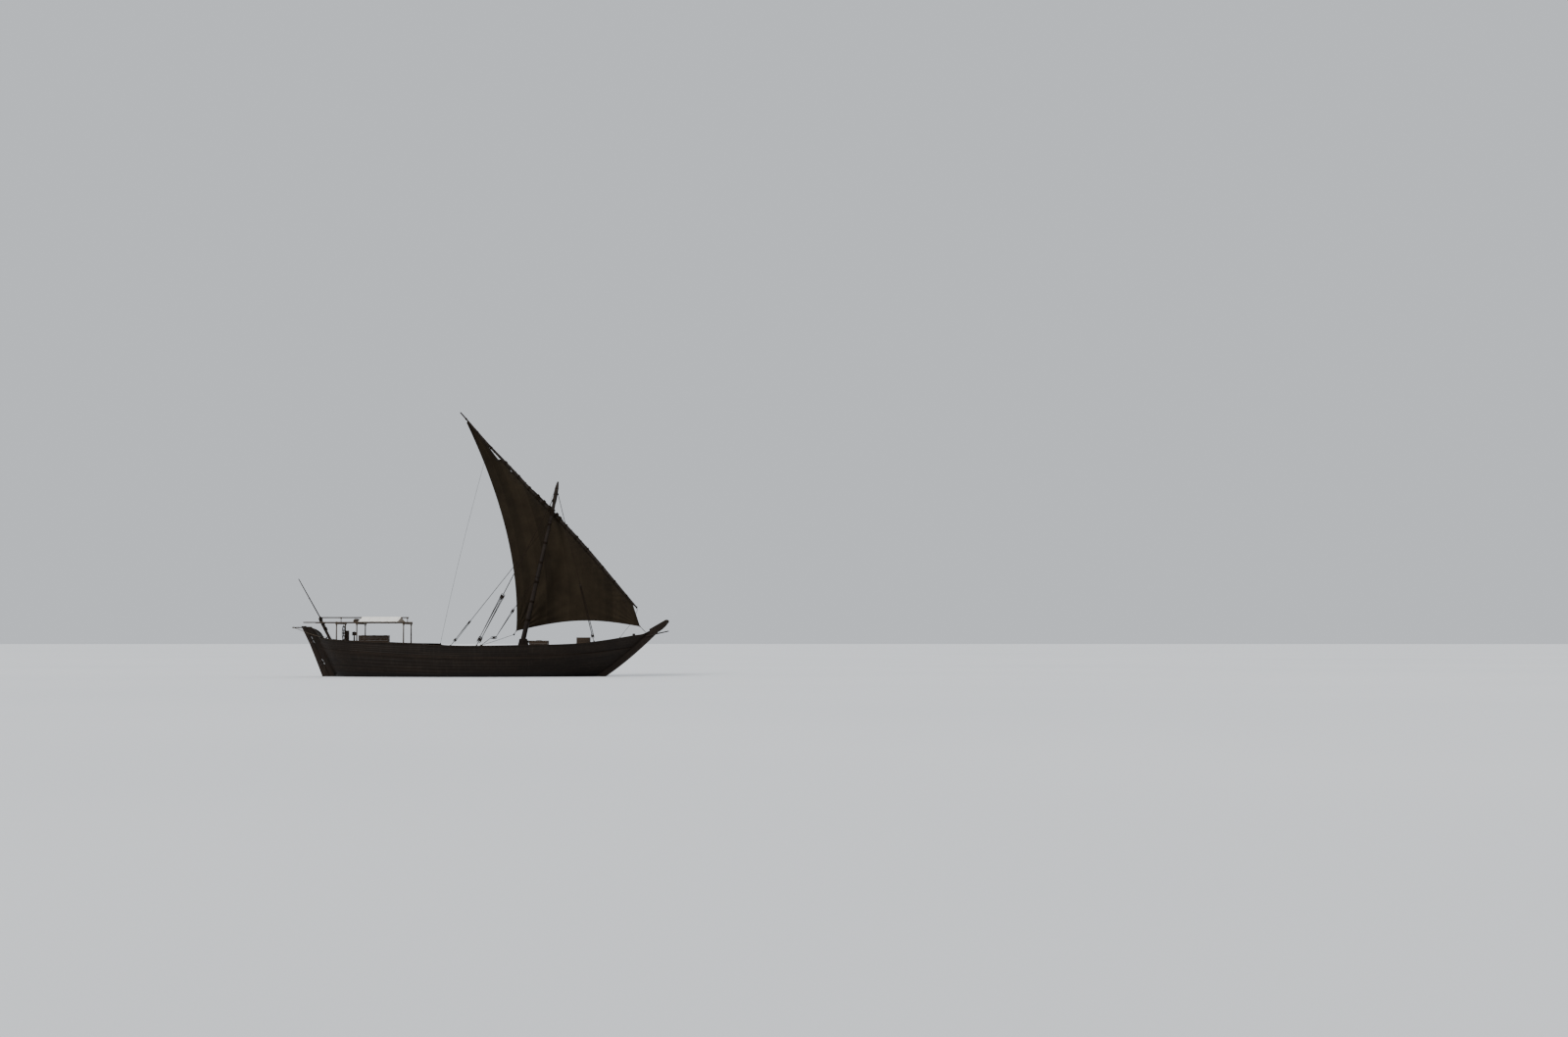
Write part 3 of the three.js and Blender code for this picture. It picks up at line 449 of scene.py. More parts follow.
class Tree:
    """Adds nodes to a tree. Each input is a number, a colour or another node's output."""

    def __init__(self, tree):
        self.tree = tree

    def feed(self, socket, value):
        """Sets an input to a value, or joins another node's output to it."""
        if isinstance(value, bpy.types.NodeSocket):
            self.tree.links.new(value, socket)
        else:
            socket.default_value = value

    def node(self, kind, inputs=None, out=0, **settings):
        """A new node with its inputs and settings. Gives one of its outputs."""
        made = self.tree.nodes.new(kind)
        for key, value in settings.items():
            setattr(made, key, value)
        for key, value in (inputs or {}).items():
            self.feed(made.inputs[key], value)
        return made.outputs[out]

    def math(self, operation, a, b=0.0):
        """One step of arithmetic."""
        return self.node("ShaderNodeMath", {0: a, 1: b}, operation=operation)

    def parts(self, vector):
        """The three parts of a vector."""
        return self.node("ShaderNodeSeparateXYZ", {0: vector}).node.outputs

    times = partialmethod(math, "MULTIPLY")
    plus = partialmethod(math, "ADD")
    minus = partialmethod(math, "SUBTRACT")
    over = partialmethod(math, "DIVIDE")

    def ramp(self, value, low, high, to_low=0.0, to_high=1.0):
        """A value carried from one range to another and held at its ends."""
        inputs = {0: value, 1: low, 2: high, 3: to_low, 4: to_high}
        return self.node("ShaderNodeMapRange", inputs, clamp=True)

    def scaled(self, vector, factors):
        """A vector with each part multiplied by its own factor."""
        return self.node("ShaderNodeVectorMath", {0: vector, 1: factors}, operation="MULTIPLY")

    def noise(self, vector, scale=1.0, detail=4.0, rough=0.55):
        """Cloudy noise from 0 to 1."""
        inputs = {"Vector": vector, "Scale": scale, "Detail": detail, "Roughness": rough}
        return self.node("ShaderNodeTexNoise", inputs)

    def blend(self, factor, a, b, kind="MIX"):
        """Two colours mixed by a factor."""
        made = self.tree.nodes.new("ShaderNodeMix")
        made.data_type, made.blend_type = "RGBA", kind
        for index, value in ((0, factor), (6, a), (7, b)):
            self.feed(made.inputs[index], value)
        return made.outputs[2]


SOCKETS = {"vector": "NodeSocketVector", "value": "NodeSocketFloat"}


def effect(name, inputs, outputs, build):
    """A shader node group with named inputs, each a kind and a default, and outputs. build
    gets the tree and the input sockets by name, and returns the output sockets."""
    tree = bpy.data.node_groups.new(name, "ShaderNodeTree")
    for label, (kind, default) in inputs.items():
        made = tree.interface.new_socket(name=label, in_out="INPUT", socket_type=SOCKETS[kind])
        if kind == "value":
            made.default_value = default
    for label in outputs:
        tree.interface.new_socket(name=label, in_out="OUTPUT", socket_type="NodeSocketFloat")
    entry = tree.nodes.new("NodeGroupInput")
    leave = tree.nodes.new("NodeGroupOutput")
    results = build(Tree(tree), {label: entry.outputs[label] for label in inputs})
    for label, result in zip(outputs, results):
        tree.links.new(result, leave.inputs[label])
    return tree


def build_grain(t, given):
    """Fibres: noise drawn out along the first axis, over a broad slow noise. Pores are the
    dark ends of a finer noise."""
    scaled = t.node("ShaderNodeVectorMath", {0: given["Vector"], 3: given["Scale"]},
                    operation="SCALE")
    fibres = t.noise(t.scaled(scaled, (1.3, 38.0, 38.0)), 1.0, 5.0, 0.6)
    broad = t.noise(t.scaled(scaled, (0.35, 5.0, 5.0)), 1.0, 2.0, 0.5)
    pores = t.noise(t.scaled(scaled, (9.0, 190.0, 190.0)), 1.0, 2.0, 0.7)
    grain = t.plus(t.times(fibres, 0.6), t.times(broad, 0.4))
    checks = t.ramp(pores, 0.36, 0.3)
    height = t.minus(fibres, t.times(checks, 0.5))
    return grain, checks, height


def build_boards(t, given):
    """Boards laid along the first axis: the second axis is cut into widths and each strip is
    cut into lengths from its own start. Gives each board's own number and the seams."""
    x, y, _ = t.parts(given["Vector"])
    across = t.over(y, given["Width"])
    strip = t.math("FLOOR", across)
    inside = t.minus(across, strip)
    start = t.node("ShaderNodeTexWhiteNoise", {"W": strip}, noise_dimensions="1D")
    along = t.plus(t.over(x, given["Length"]), start)
    part = t.math("FLOOR", along)
    within = t.minus(along, part)
    key = t.plus(t.times(strip, 7.31), t.times(part, 3.17))
    number = t.node("ShaderNodeTexWhiteNoise", {"W": key}, noise_dimensions="1D")
    side = t.times(t.math("MINIMUM", inside, t.minus(1.0, inside)), given["Width"])
    end = t.times(t.math("MINIMUM", within, t.minus(1.0, within)), given["Length"])
    seam = t.ramp(t.math("MINIMUM", side, end), given["Seam"], 0.0)
    return number, seam


def build_fastenings(t, given):
    """Round heads in pairs: along the first axis one pair each spacing, and across a board
    two heads, near its edges. The mask is one inside a head."""
    x, y, _ = t.parts(given["Vector"])
    u = t.math("PINGPONG", x, t.times(given["Spacing"], 0.5))
    fraction = t.math("FRACT", y)
    v = t.math("ABSOLUTE", t.minus(t.math("PINGPONG", fraction, 0.5), 0.22))
    v = t.times(v, given["Width"])
    away = t.math("SQRT", t.plus(t.math("POWER", u, 2.0), t.math("POWER", v, 2.0)))
    return (t.ramp(away, given["Radius"], t.times(given["Radius"], 0.6)),)


def build_weather(t, given):
    """Runs of dirt and salt: noise drawn out downwards, patches of a broad noise, and a band
    just above the waterline where the water wets the wood."""
    streaks = t.noise(t.scaled(given["Vector"], (5.5, 5.5, 0.5)), 1.0, 4.0, 0.65)
    patches = t.noise(given["Vector"], 0.7, 3.0, 0.6)
    level = t.parts(given["Vector"])[2]
    lap = t.noise(given["Vector"], 1.9, 3.0, 0.5)
    level = t.minus(level, t.times(lap, 0.35))
    return t.ramp(streaks, 0.5, 0.72), t.ramp(patches, 0.42, 0.66), t.ramp(level, 0.3, 0.0)


def build_wear(t, given):
    """Worn edges: the faces that the piece marks as edges, broken up by the grain."""
    edge = t.node("ShaderNodeAttribute", attribute_name="edge", out="Fac")
    broken = t.ramp(given["Grain"], 0.35, 0.6)
    return (t.times(t.times(edge, broken), given["Strength"]),)


def build_weave(t, given):
    """Plain weave: the product of two waves a thread apart, with slubs from noise drawn out
    along each way of the threads."""
    x, y, _ = t.parts(given["Vector"])
    turns = t.over(math.pi, given["Thread"])
    warp = t.math("SINE", t.times(x, turns))
    weft = t.math("SINE", t.times(y, turns))
    height = t.times(warp, weft)
    slub_a = t.noise(t.scaled(given["Vector"], (2.0, 160.0, 1.0)), 1.0, 2.0)
    slub_b = t.noise(t.scaled(given["Vector"], (160.0, 2.0, 1.0)), 1.0, 2.0)
    slubs = t.times(t.plus(slub_a, slub_b), 0.5)
    stains = t.noise(given["Vector"], 0.55, 5.0, 0.6)
    return height, slubs, stains


def build_tone(t, given):
    """The tone of one board among its neighbours: its number from 0 to 1, carried to a range."""
    return (t.ramp(given["Number"], 0.0, 1.0, given["Low"], given["High"]),)


def build_seams(t, given):
    """Cloths sewn edge to edge: the first axis is cut into cloths of one width. Gives each
    cloth's own number, the doubled strip at each seam, and the stitches down the strip."""
    x, y, _ = t.parts(given["Vector"])
    cloth = t.math("FLOOR", t.over(x, given["Width"]))
    number = t.node("ShaderNodeTexWhiteNoise", {"W": cloth}, noise_dimensions="1D")
    away = t.math("PINGPONG", x, t.times(given["Width"], 0.5))
    doubled = t.ramp(away, 0.024, 0.02)
    row = t.ramp(t.math("ABSOLUTE", t.minus(away, 0.017)), 0.003, 0.0015)
    stitch = t.ramp(t.math("SINE", t.times(y, 420.0)), 0.0, 0.3)
    return number, doubled, t.times(row, stitch)


def build_lay(t, given):
    """Laid rope: three strands that wind once round in each pitch along the first axis. The
    second axis runs round the rope, in metres, and is divided by its girth."""
    x, y, _ = t.parts(given["Vector"])
    along = t.over(x, given["Pitch"])
    round_it = t.over(y, given["Girth"])
    phase = t.times(t.plus(along, round_it), 3 * math.pi)
    strand = t.math("ABSOLUTE", t.math("SINE", phase))
    fibres = t.noise(t.scaled(given["Vector"], (40.0, 260.0, 1.0)), 1.0, 3.0)
    return strand, fibres


def amount(default):
    """An input socket that takes one number."""
    return ("value", default)


PLACE = ("vector", None)
GRAIN = effect("Wood grain", {"Vector": PLACE, "Scale": amount(1.0)}, ("Grain", "Checks", "Height"),
               build_grain)
BOARDS = effect("Laid boards", {"Vector": PLACE, "Width": amount(0.15), "Length": amount(5.0),
                                "Seam": amount(0.005)}, ("Number", "Seam"), build_boards)
FASTENINGS = effect("Fastenings", {"Vector": PLACE, "Spacing": amount(0.5), "Width": amount(0.2),
                                   "Radius": amount(0.012)}, ("Heads",), build_fastenings)
WEATHER = effect("Weather", {"Vector": PLACE}, ("Streaks", "Patches", "Wet"), build_weather)
WEAR = effect("Edge wear", {"Grain": amount(0.5), "Strength": amount(0.5)}, ("Worn",), build_wear)
WEAVE = effect("Canvas weave", {"Vector": PLACE, "Thread": amount(0.004)},
               ("Height", "Slubs", "Stains"), build_weave)
TONE = effect("Board tone", {"Number": amount(0.5), "Low": amount(0.72), "High": amount(1.25)},
              ("Tone",), build_tone)
SEAMS = effect("Sewn seams", {"Vector": PLACE, "Width": amount(0.6)},
               ("Number", "Doubled", "Stitches"), build_seams)
LAY = effect("Rope lay", {"Vector": PLACE, "Pitch": amount(0.12), "Girth": amount(0.12)},
             ("Strand", "Fibres"), build_lay)


def colour(red, green, blue):
    """An opaque colour."""
    return (red, green, blue, 1.0)


def dimmed(tone, share):
    """A colour with each part multiplied by a share."""
    return tuple(np.array(tone) * share)


def tinted(tone, other, share):
    """A colour moved a share of the way to another."""
    return tuple(mix(np.array(tone), np.array(other), share))


def start_material(name, roughness, metallic=0.0, sheen=0.0, gloss=0.5):
    """A new material: its tree, its shader node and the two places where its patterns are
    read, the piece's own map and the piece's own space."""
    made = bpy.data.materials.new(name)
    made.use_nodes = True
    t = Tree(made.node_tree)
    shader = made.node_tree.nodes["Principled BSDF"]
    shader.inputs["Roughness"].default_value = roughness
    shader.inputs["Metallic"].default_value = metallic
    shader.inputs["Specular IOR Level"].default_value = gloss
    if sheen:
        shader.inputs["Sheen Weight"].default_value = sheen
        shader.inputs["Sheen Roughness"].default_value = 0.6
    places = t.node("ShaderNodeTexCoord").node.outputs
    return made, t, shader, places["UV"], places["Object"]


def placed(t, tree, inputs):
    """An effect put into a material, with its own values."""
    made = t.tree.nodes.new("ShaderNodeGroup")
    made.node_tree = tree
    for key, value in inputs.items():
        t.feed(made.inputs[key], value)
    return made.outputs


def finished(made, t, shader, base, height, strength, distance):
    """Joins a colour and a height to the shader of a material."""
    bump = t.node("ShaderNodeBump", {"Height": height, "Strength": strength, "Distance": distance})
    t.feed(shader.inputs["Base Color"], base)
    t.feed(shader.inputs["Normal"], bump)
    return made


def laid_boards(t, along, width, length, seam, flat):
    """The pattern of laid boards, flat ones or upright ones."""
    lie = along if flat else t.node("ShaderNodeVectorRotate", {0: along, 3: math.pi / 2},
                                    rotation_type="X_AXIS")
    return placed(t, BOARDS, {"Vector": lie, "Width": width, "Length": length, "Seam": seam})


def hull_marks(t, along, heads, wet, base, height, roughness):
    """Adds the heads of fastenings, and the dark smooth band that the water wets."""
    spacing, width = heads
    knobs = placed(t, FASTENINGS, {"Vector": along, "Spacing": spacing, "Width": width})["Heads"]
    base = t.blend(t.times(knobs, 0.7), base, colour(0.03, 0.014, 0.008))
    height = t.plus(height, t.times(knobs, 0.5))
    base = t.blend(t.times(wet, 0.6), base, colour(0.003, 0.003, 0.003))
    return base, height, t.blend(wet, roughness, colour(0.3, 0.3, 0.3))


def wood(name, dark, light, rough=(0.45, 0.7), own_map=True, boards=None, heads=None,
         wear=None, weathered=0.3, grain_scale=1.0, gloss=0.35, turn=0.0):
    """Oiled or dry timber: grain along the piece's own map, or along X turned round Y. boards
    is the width, length and seam of laid boards, and whether they lie flat; heads the spacing
    and the board's width for fastenings."""
    made, t, shader, mapped, place = start_material(name, rough[0], gloss=gloss)
    along = mapped if own_map else place
    if turn:
        along = t.node("ShaderNodeMapping", {0: along, 2: (0.0, turn, 0.0)})
    grain = placed(t, GRAIN, {"Vector": along, "Scale": grain_scale})
    base = t.blend(t.ramp(grain["Grain"], 0.3, 0.7), dark, light)
    height = t.times(grain["Height"], 0.3)
    if own_map:
        number = t.node("ShaderNodeAttribute", attribute_name="shade", out="Fac")
    if boards:
        laid = laid_boards(t, along, *boards)
        number = laid["Number"]
    if own_map or boards:
        tone = placed(t, TONE, {"Number": number, "Low": 0.72, "High": 1.25})["Tone"]
        base = t.blend(1.0, base, tone, "MULTIPLY")
    base = t.blend(t.times(grain["Checks"], 0.6), base, dimmed(dark, 0.4))
    weather = placed(t, WEATHER, {"Vector": place})
    salt = tinted(light, colour(0.3, 0.27, 0.23), 0.06)
    base = t.blend(t.times(weather["Streaks"], weathered), base, salt)
    base = t.blend(t.times(weather["Patches"], 0.35), base, dark)
    if wear:
        worn = placed(t, WEAR, {"Grain": grain["Grain"], "Strength": wear})["Worn"]
        base = t.blend(worn, base, tinted(dimmed(light, 1.6), colour(0.3, 0.21, 0.13), 0.06))
    roughness = t.ramp(grain["Grain"], 0.25, 0.75, rough[1], rough[0])
    if boards:
        base = t.blend(laid["Seam"], base, dimmed(dark, 0.2))
        height = t.minus(height, t.times(laid["Seam"], 1.2))
    if heads:
        marks = hull_marks(t, along, heads, weather["Wet"], base, height, roughness)
        base, height, roughness = marks
    t.feed(shader.inputs["Roughness"], roughness)
    return finished(made, t, shader, base, height, 0.6, 0.006)


def canvas(name, cloth, stain, seam_every, shift=0.3, panels=(0.8, 1.15), thread=0.004,
           gloss=0.2, sheen=0.15):
    """Sewn canvas: weave, slubs and stains, with doubled seams and their stitches where the
    first axis of the piece's map passes each cloth's width."""
    made, t, shader, along, _ = start_material(name, 0.92, sheen=sheen, gloss=gloss)
    weave = placed(t, WEAVE, {"Vector": along, "Thread": thread})
    base = t.blend(t.ramp(weave["Stains"], 0.35, 0.7), cloth, stain)
    base = t.blend(1.0, base, t.ramp(weave["Slubs"], 0.3, 0.7, 1 - shift, 1 + shift), "MULTIPLY")
    seams = placed(t, SEAMS, {"Vector": along, "Width": seam_every})
    tone = placed(t, TONE, {"Number": seams["Number"], "Low": panels[0], "High": panels[1]})
    base = t.blend(1.0, base, tone["Tone"], "MULTIPLY")
    base = t.blend(t.times(seams["Doubled"], 0.4), base, dimmed(cloth, 0.5))
    thread_tone = tuple(np.minimum(dimmed(cloth, 2.5), 0.75))
    base = t.blend(t.times(seams["Stitches"], 0.6), base, thread_tone)
    height = t.plus(t.times(weave["Height"], 0.25), t.times(seams["Doubled"], 1.4))
    return finished(made, t, shader, base, height, 0.5, 0.003)


def laid_rope(name, fibre, groove, girth, pitch, sheen=0.1, gloss=0.25):
    """Natural rope with three laid strands; the groove colour between them is painted shade."""
    made, t, shader, along, _ = start_material(name, 0.9, sheen=sheen, gloss=gloss)
    lay = placed(t, LAY, {"Vector": along, "Pitch": pitch, "Girth": girth})
    # Painted shade: the groove colour darkens the hollows between the strands
    base = t.blend(t.ramp(lay["Strand"], 0.1, 0.6), groove, fibre)
    base = t.blend(1.0, base, t.ramp(lay["Fibres"], 0.3, 0.7, 0.75, 1.2), "MULTIPLY")
    height = t.plus(lay["Strand"], t.times(lay["Fibres"], 0.3))
    return finished(made, t, shader, base, height, 0.8, 0.008)


def forged_iron(name):
    """Black iron with rust in patches."""
    made, t, shader, _, place = start_material(name, 0.55, metallic=0.6)
    rust = t.ramp(t.noise(place, 9.0, 6.0, 0.65), 0.45, 0.62)
    fine = t.noise(place, 90.0, 3.0, 0.6)
    base = t.blend(rust, colour(0.016, 0.014, 0.013), colour(0.05, 0.024, 0.013))
    t.feed(shader.inputs["Roughness"], t.ramp(rust, 0.0, 1.0, 0.42, 0.88))
    t.feed(shader.inputs["Metallic"], t.ramp(rust, 0.0, 1.0, 0.75, 0.05))
    return finished(made, t, shader, base, t.plus(rust, fine), 0.4, 0.004)


def fired_clay(name, base_colour, ash):
    """Clay with soot and a coarse grain."""
    made, t, shader, _, place = start_material(name, 0.95)
    soot = t.ramp(t.noise(place, 3.0, 4.0, 0.6), 0.4, 0.6)
    grit = t.noise(place, 60.0, 4.0, 0.7)
    return finished(made, t, shader, t.blend(soot, base_colour, ash), grit, 0.6, 0.008)


def studio_floor(name):
    """Pale matt floor with a barely visible tone."""
    made, t, shader, _, place = start_material(name, 0.8)
    tone = t.ramp(t.noise(place, 0.02, 2.0), 0.3, 0.7)
    pale = t.blend(tone, colour(0.74, 0.75, 0.76), colour(0.78, 0.785, 0.79))
    t.feed(shader.inputs["Base Color"], pale)
    return made


# The dark timber colours are partly the oiled wood's own tone and partly painted shade: they are
# darkened further so the timbers read as a side in shade
OILED_WITH_PAINTED_SHADE = (colour(0.006, 0.0037, 0.0022), colour(0.02, 0.012, 0.007), (0.5, 0.7))
UP_THE_POST = math.pi / 2 + RAKE
POST_MAT = wood("raked post", *OILED_WITH_PAINTED_SHADE, own_map=False, gloss=0.14, turn=UP_THE_POST)
KEEL_MAT = wood("keel timber", *OILED_WITH_PAINTED_SHADE, own_map=False, gloss=0.14)
RUDDER_MAT = wood("rudder boards", *OILED_WITH_PAINTED_SHADE, own_map=False, boards=(0.27, 30.0, 0.008, False),
                  gloss=0.14, turn=UP_THE_POST)
DECK_MAT = wood("deck boards", colour(0.085, 0.06, 0.039), colour(0.21, 0.158, 0.105),
                (0.7, 0.88), own_map=False, boards=(0.16, 5.2, 0.007, True), weathered=0.28)
# A finish is a material and the slot of its pieces
# Hull planking colours: dark oiled wood, darkened further with painted shade
HULL = (wood("hull planking with painted shade", colour(0.0048, 0.003, 0.0019), colour(0.0155, 0.0095, 0.0055),
             (0.5, 0.7), heads=(0.48, 0.2), grain_scale=0.8, gloss=0.14), "hull_wood")
TRIM = (wood("worn trim", *OILED_WITH_PAINTED_SHADE, wear=0.5, gloss=0.14), "trim_wood")
BOARD = (wood("rough boards", colour(0.02, 0.0125, 0.0075), colour(0.065, 0.041, 0.024),
              (0.62, 0.82), wear=0.5, weathered=0.28, gloss=0.25), "deck_wood")
# Spar colours: dark oiled wood, darkened further with painted shade
SPAR = (wood("oiled spar with painted shade", colour(0.0065, 0.004, 0.0024), colour(0.022, 0.013, 0.0075),
             (0.45, 0.66), weathered=0.25, gloss=0.18), "spar_wood")
BLOCK = (SPAR[0], "trim_wood")
POLE = (wood("bare pole", colour(0.03, 0.019, 0.0115), colour(0.085, 0.058, 0.035),
             (0.6, 0.82), gloss=0.25), "spar_wood")
# The sail's colours are partly tanned canvas and partly painted shade: they are darkened further to
# the look of cloth in shade
SAIL = (canvas("tanned sailcloth with painted shade", colour(0.026, 0.0185, 0.0105), colour(0.015, 0.0105, 0.006),
               0.6, gloss=0.08, sheen=0.02), "sail_canvas")
# The rolled awning's colours are painted shade: the same canvas as the bleached awning, given dark
# colours
FURLED_IN_PAINTED_SHADE = (canvas("furled canvas in painted shade", colour(0.05, 0.034, 0.021), colour(0.026, 0.018, 0.011),
                 0.9, gloss=0.15, sheen=0.06), "awning_cloth")
AWNING = (canvas("bleached canvas", colour(0.9, 0.87, 0.81), colour(0.82, 0.77, 0.68), 0.75,
                 0.06, (0.96, 1.02)), "awning_cloth")
# Name, fibre, groove colour as painted shade, girth and pitch, and for the tarred ones their sheen and
# gloss
ROPES = (
    ("palm rope", colour(0.15, 0.1, 0.058), colour(0.035, 0.022, 0.013), 0.1, 0.11),
    ("thin line", colour(0.12, 0.085, 0.05), colour(0.03, 0.02, 0.012), 0.05, 0.06),
    # The tarred rope and line colours are partly tar and partly painted shade, darkened further so
    # they stay as dark as the shaded sail
    ("tarred rope with painted shade", colour(0.02, 0.0125, 0.0075), colour(0.005, 0.0032, 0.002), 0.1, 0.11, 0.0, 0.1),
    ("tarred line with painted shade", colour(0.017, 0.0108, 0.0065), colour(0.0045, 0.003, 0.002), 0.05, 0.06, 0.0, 0.1),
)
ROPE, LINE, DARK_ROPE, DARK_LINE = ((laid_rope(*settings), "rope") for settings in ROPES)
IRON = (forged_iron("forged iron"), "trim_wood")
CLAY = (fired_clay("clay lining", colour(0.2, 0.13, 0.085), colour(0.05, 0.045, 0.042)), "deck_wood")
ASH = (fired_clay("ash", colour(0.34, 0.33, 0.32), colour(0.09, 0.085, 0.08)), "deck_wood")


# Hull form, the same as the solids' but smooth between the sections

KEEL_TOP = -2.05
POST_HALF = 0.15
CAP_THICK = 0.08
PLANK_THICK = 0.09
DECK_THICK = 0.06
POOP_RISE = 0.3
POOP_BREAK = -2.42
FOREDECK_RISE = 0.42
FOREDECK_BREAK = 12.15
RABBET = np.array([[4.9, -2.05], [9.3, -2.0], [14.95, 3.6]])
STEM_FACE = np.array([[5.0, -2.45], [9.9, -2.3], [15.75, 3.59]])
# X and height of the rail, half-breadth, height of the deck's underside, and slack
ROWS = np.array([
    [-12.485, 3.95, 0.15, 2.45, 1.2],
    [-12.25, 3.85, 0.43, 2.43, 1.05],
    [-11.9, 3.54, 0.8, 2.4, 1.0],
    [-11.65, 3.13, 0.89, 2.37, 1.0],
    [-11.0, 3.02, 1.56, 2.32, 0.95],
    [-10.0, 2.95, 2.18, 2.25, 0.85],
    [-8.5, 2.88, 2.76, 2.15, 0.74],
    [-6.5, 2.79, 3.25, 2.03, 0.63],
    [-4.5, 2.715, 3.58, 1.93, 0.55],
    [-2.75, 2.69, 3.77, 1.855, 0.51],
    [-2.35, 2.56, 3.8, 1.84, 0.5],
    [-0.5, 2.5, 3.89, 1.78, 0.48],
    [2.0, 2.52, 3.9, 1.75, 0.48],
    [4.5, 2.56, 3.74, 1.76, 0.52],
    [6.8, 2.6, 3.38, 1.8, 0.58],
    [8.8, 2.655, 2.88, 1.86, 0.68],
    [10.4, 2.8, 2.35, 1.95, 0.78],
    [11.7, 2.98, 1.83, 2.06, 0.88],
    [12.9, 3.18, 1.27, 2.2, 0.98],
    [13.9, 3.36, 0.7, 2.34, 1.08],
    [14.5, 3.45, 0.38, 2.42, 1.14],
    [15.03, 3.72, 0.15, 2.5, 1.2],
])


def stern_x(z):
    """X of the sternpost's fore face at a height: a straight line that leans aft."""
    return -10.53 - POST_LEAN * z


def bezier_x(curve, z):
    """X on a quadratic curve at a height."""
    (x0, z0), (x1, z1), (x2, z2) = curve
    a, b, c = z0 - 2 * z1 + z2, 2 * (z1 - z0), z0 - z
    share = (-b + np.sqrt(b * b - 4 * a * c)) / (2 * a)
    return (1 - share) ** 2 * x0 + 2 * (1 - share) * share * x1 + share**2 * x2


def bezier(curve, share):
    """Points on a quadratic curve."""
    share = np.asarray(share, float)[:, None]
    return (1 - share) ** 2 * curve[0] + 2 * (1 - share) * share * curve[1] + share**2 * curve[2]


def row_shares():
    """How far each section lies from sternpost to stem."""
    x, rail = ROWS[:, 0], ROWS[:, 1]
    share = (x - stern_x(rail)) / (bezier_x(RABBET, rail) - stern_x(rail))
    share[0], share[-1] = 0, 1
    return share


ROW_SHARES = row_shares()


def sections(count_each=11):
    """Stations along the hull, finer than the table: share, rail, half, deck and slack."""
    index = np.linspace(0, len(ROWS) - 1, (len(ROWS) - 1) * count_each + 1)
    x = np.interp(index, np.arange(len(ROWS)), ROWS[:, 0])
    columns = [smooth(ROWS[:, 0], values, x) for values in (ROW_SHARES, *ROWS.T[1:])]
    return np.stack(columns, axis=1)


def skin(rows, z):
    """Points on the port side. X is the section's share of the way from sternpost to stem at
    that height; Y rises from the keel as the sine of a power of the height."""
    share, rail, half, _, slack = (column[:, None] for column in rows.T)
    x = mix(stern_x(z), bezier_x(RABBET, z), share)
    rise = np.clip((z - KEEL_TOP) / (rail - KEEL_TOP), 0, None)
    y = POST_HALF + (half - POST_HALF) * np.sin(math.pi / 2 * rise**slack)
    return spots(x, y, z)


def mirrored(points):
    """The same points on the other side of the boat."""
    return points * np.array([1, -1, 1])


HULL_STRAKES = 15
BULWARK_STRAKES = 4
SEAM_HALF = 0.006
SEAM_DEEP = 0.009
# How near inner faces come to the boat's middle plane
MIDDLE_GAP = 0.015
# The planks' map and tones: metres from sternpost to stem, and what the starboard side adds to
# a strake's number in its map and in the table of tones
HULL_LENGTH = 28
STARBOARD_MAP = 40
STARBOARD_TONES = 50


def plank_tones(u, strakes):
    """A tone for each plank: every strake is cut into planks of one length from a start of its
    own, and the plank's number picks the tone from the strake's row of twelve."""
    rng = np.random.default_rng(11)
    starts = rng.uniform(0, 5, 100)
    spans = rng.uniform(4.4, 6.2, 100)
    plank = np.floor((u[:-1, None] + starts[strakes]) / spans[strakes]).astype(int)
    tones = rng.uniform(0, 1, (100, 12))
    return tones[strakes, plank % 12]


def outer_planks(rows, low, high, shares):
    """The planks' outer face on the port side, five lines a strake: its lower edge in the
    groove, then four on its face, which a slow wave of a few millimetres draws in."""
    z = mix(low[..., None], high[..., None], shares).reshape(len(rows), -1)
    z[:, 1::5] = np.minimum(z[:, 0::5] + SEAM_HALF, z[:, 2::5])
    z[:, 4::5] = np.maximum(high - SEAM_HALF, z[:, 3::5])
    outer = skin(rows, z)
    x_along = outer[..., 0]
    for strake in range(low.shape[1]):
        columns = slice(5 * strake + 1, 5 * strake + 5)
        lift = 0.004 * wander(x_along[:, columns.start], 40 + strake, 2.2)
        outer[:, columns, 1] += np.clip(lift, -0.004, 0.0)[:, None]
    ease = np.clip((outer[..., 1] - POST_HALF) / 0.1, 0, 1)
    outer[:, 0::5, 1] -= SEAM_DEEP * ease[:, 0::5]
    return outer


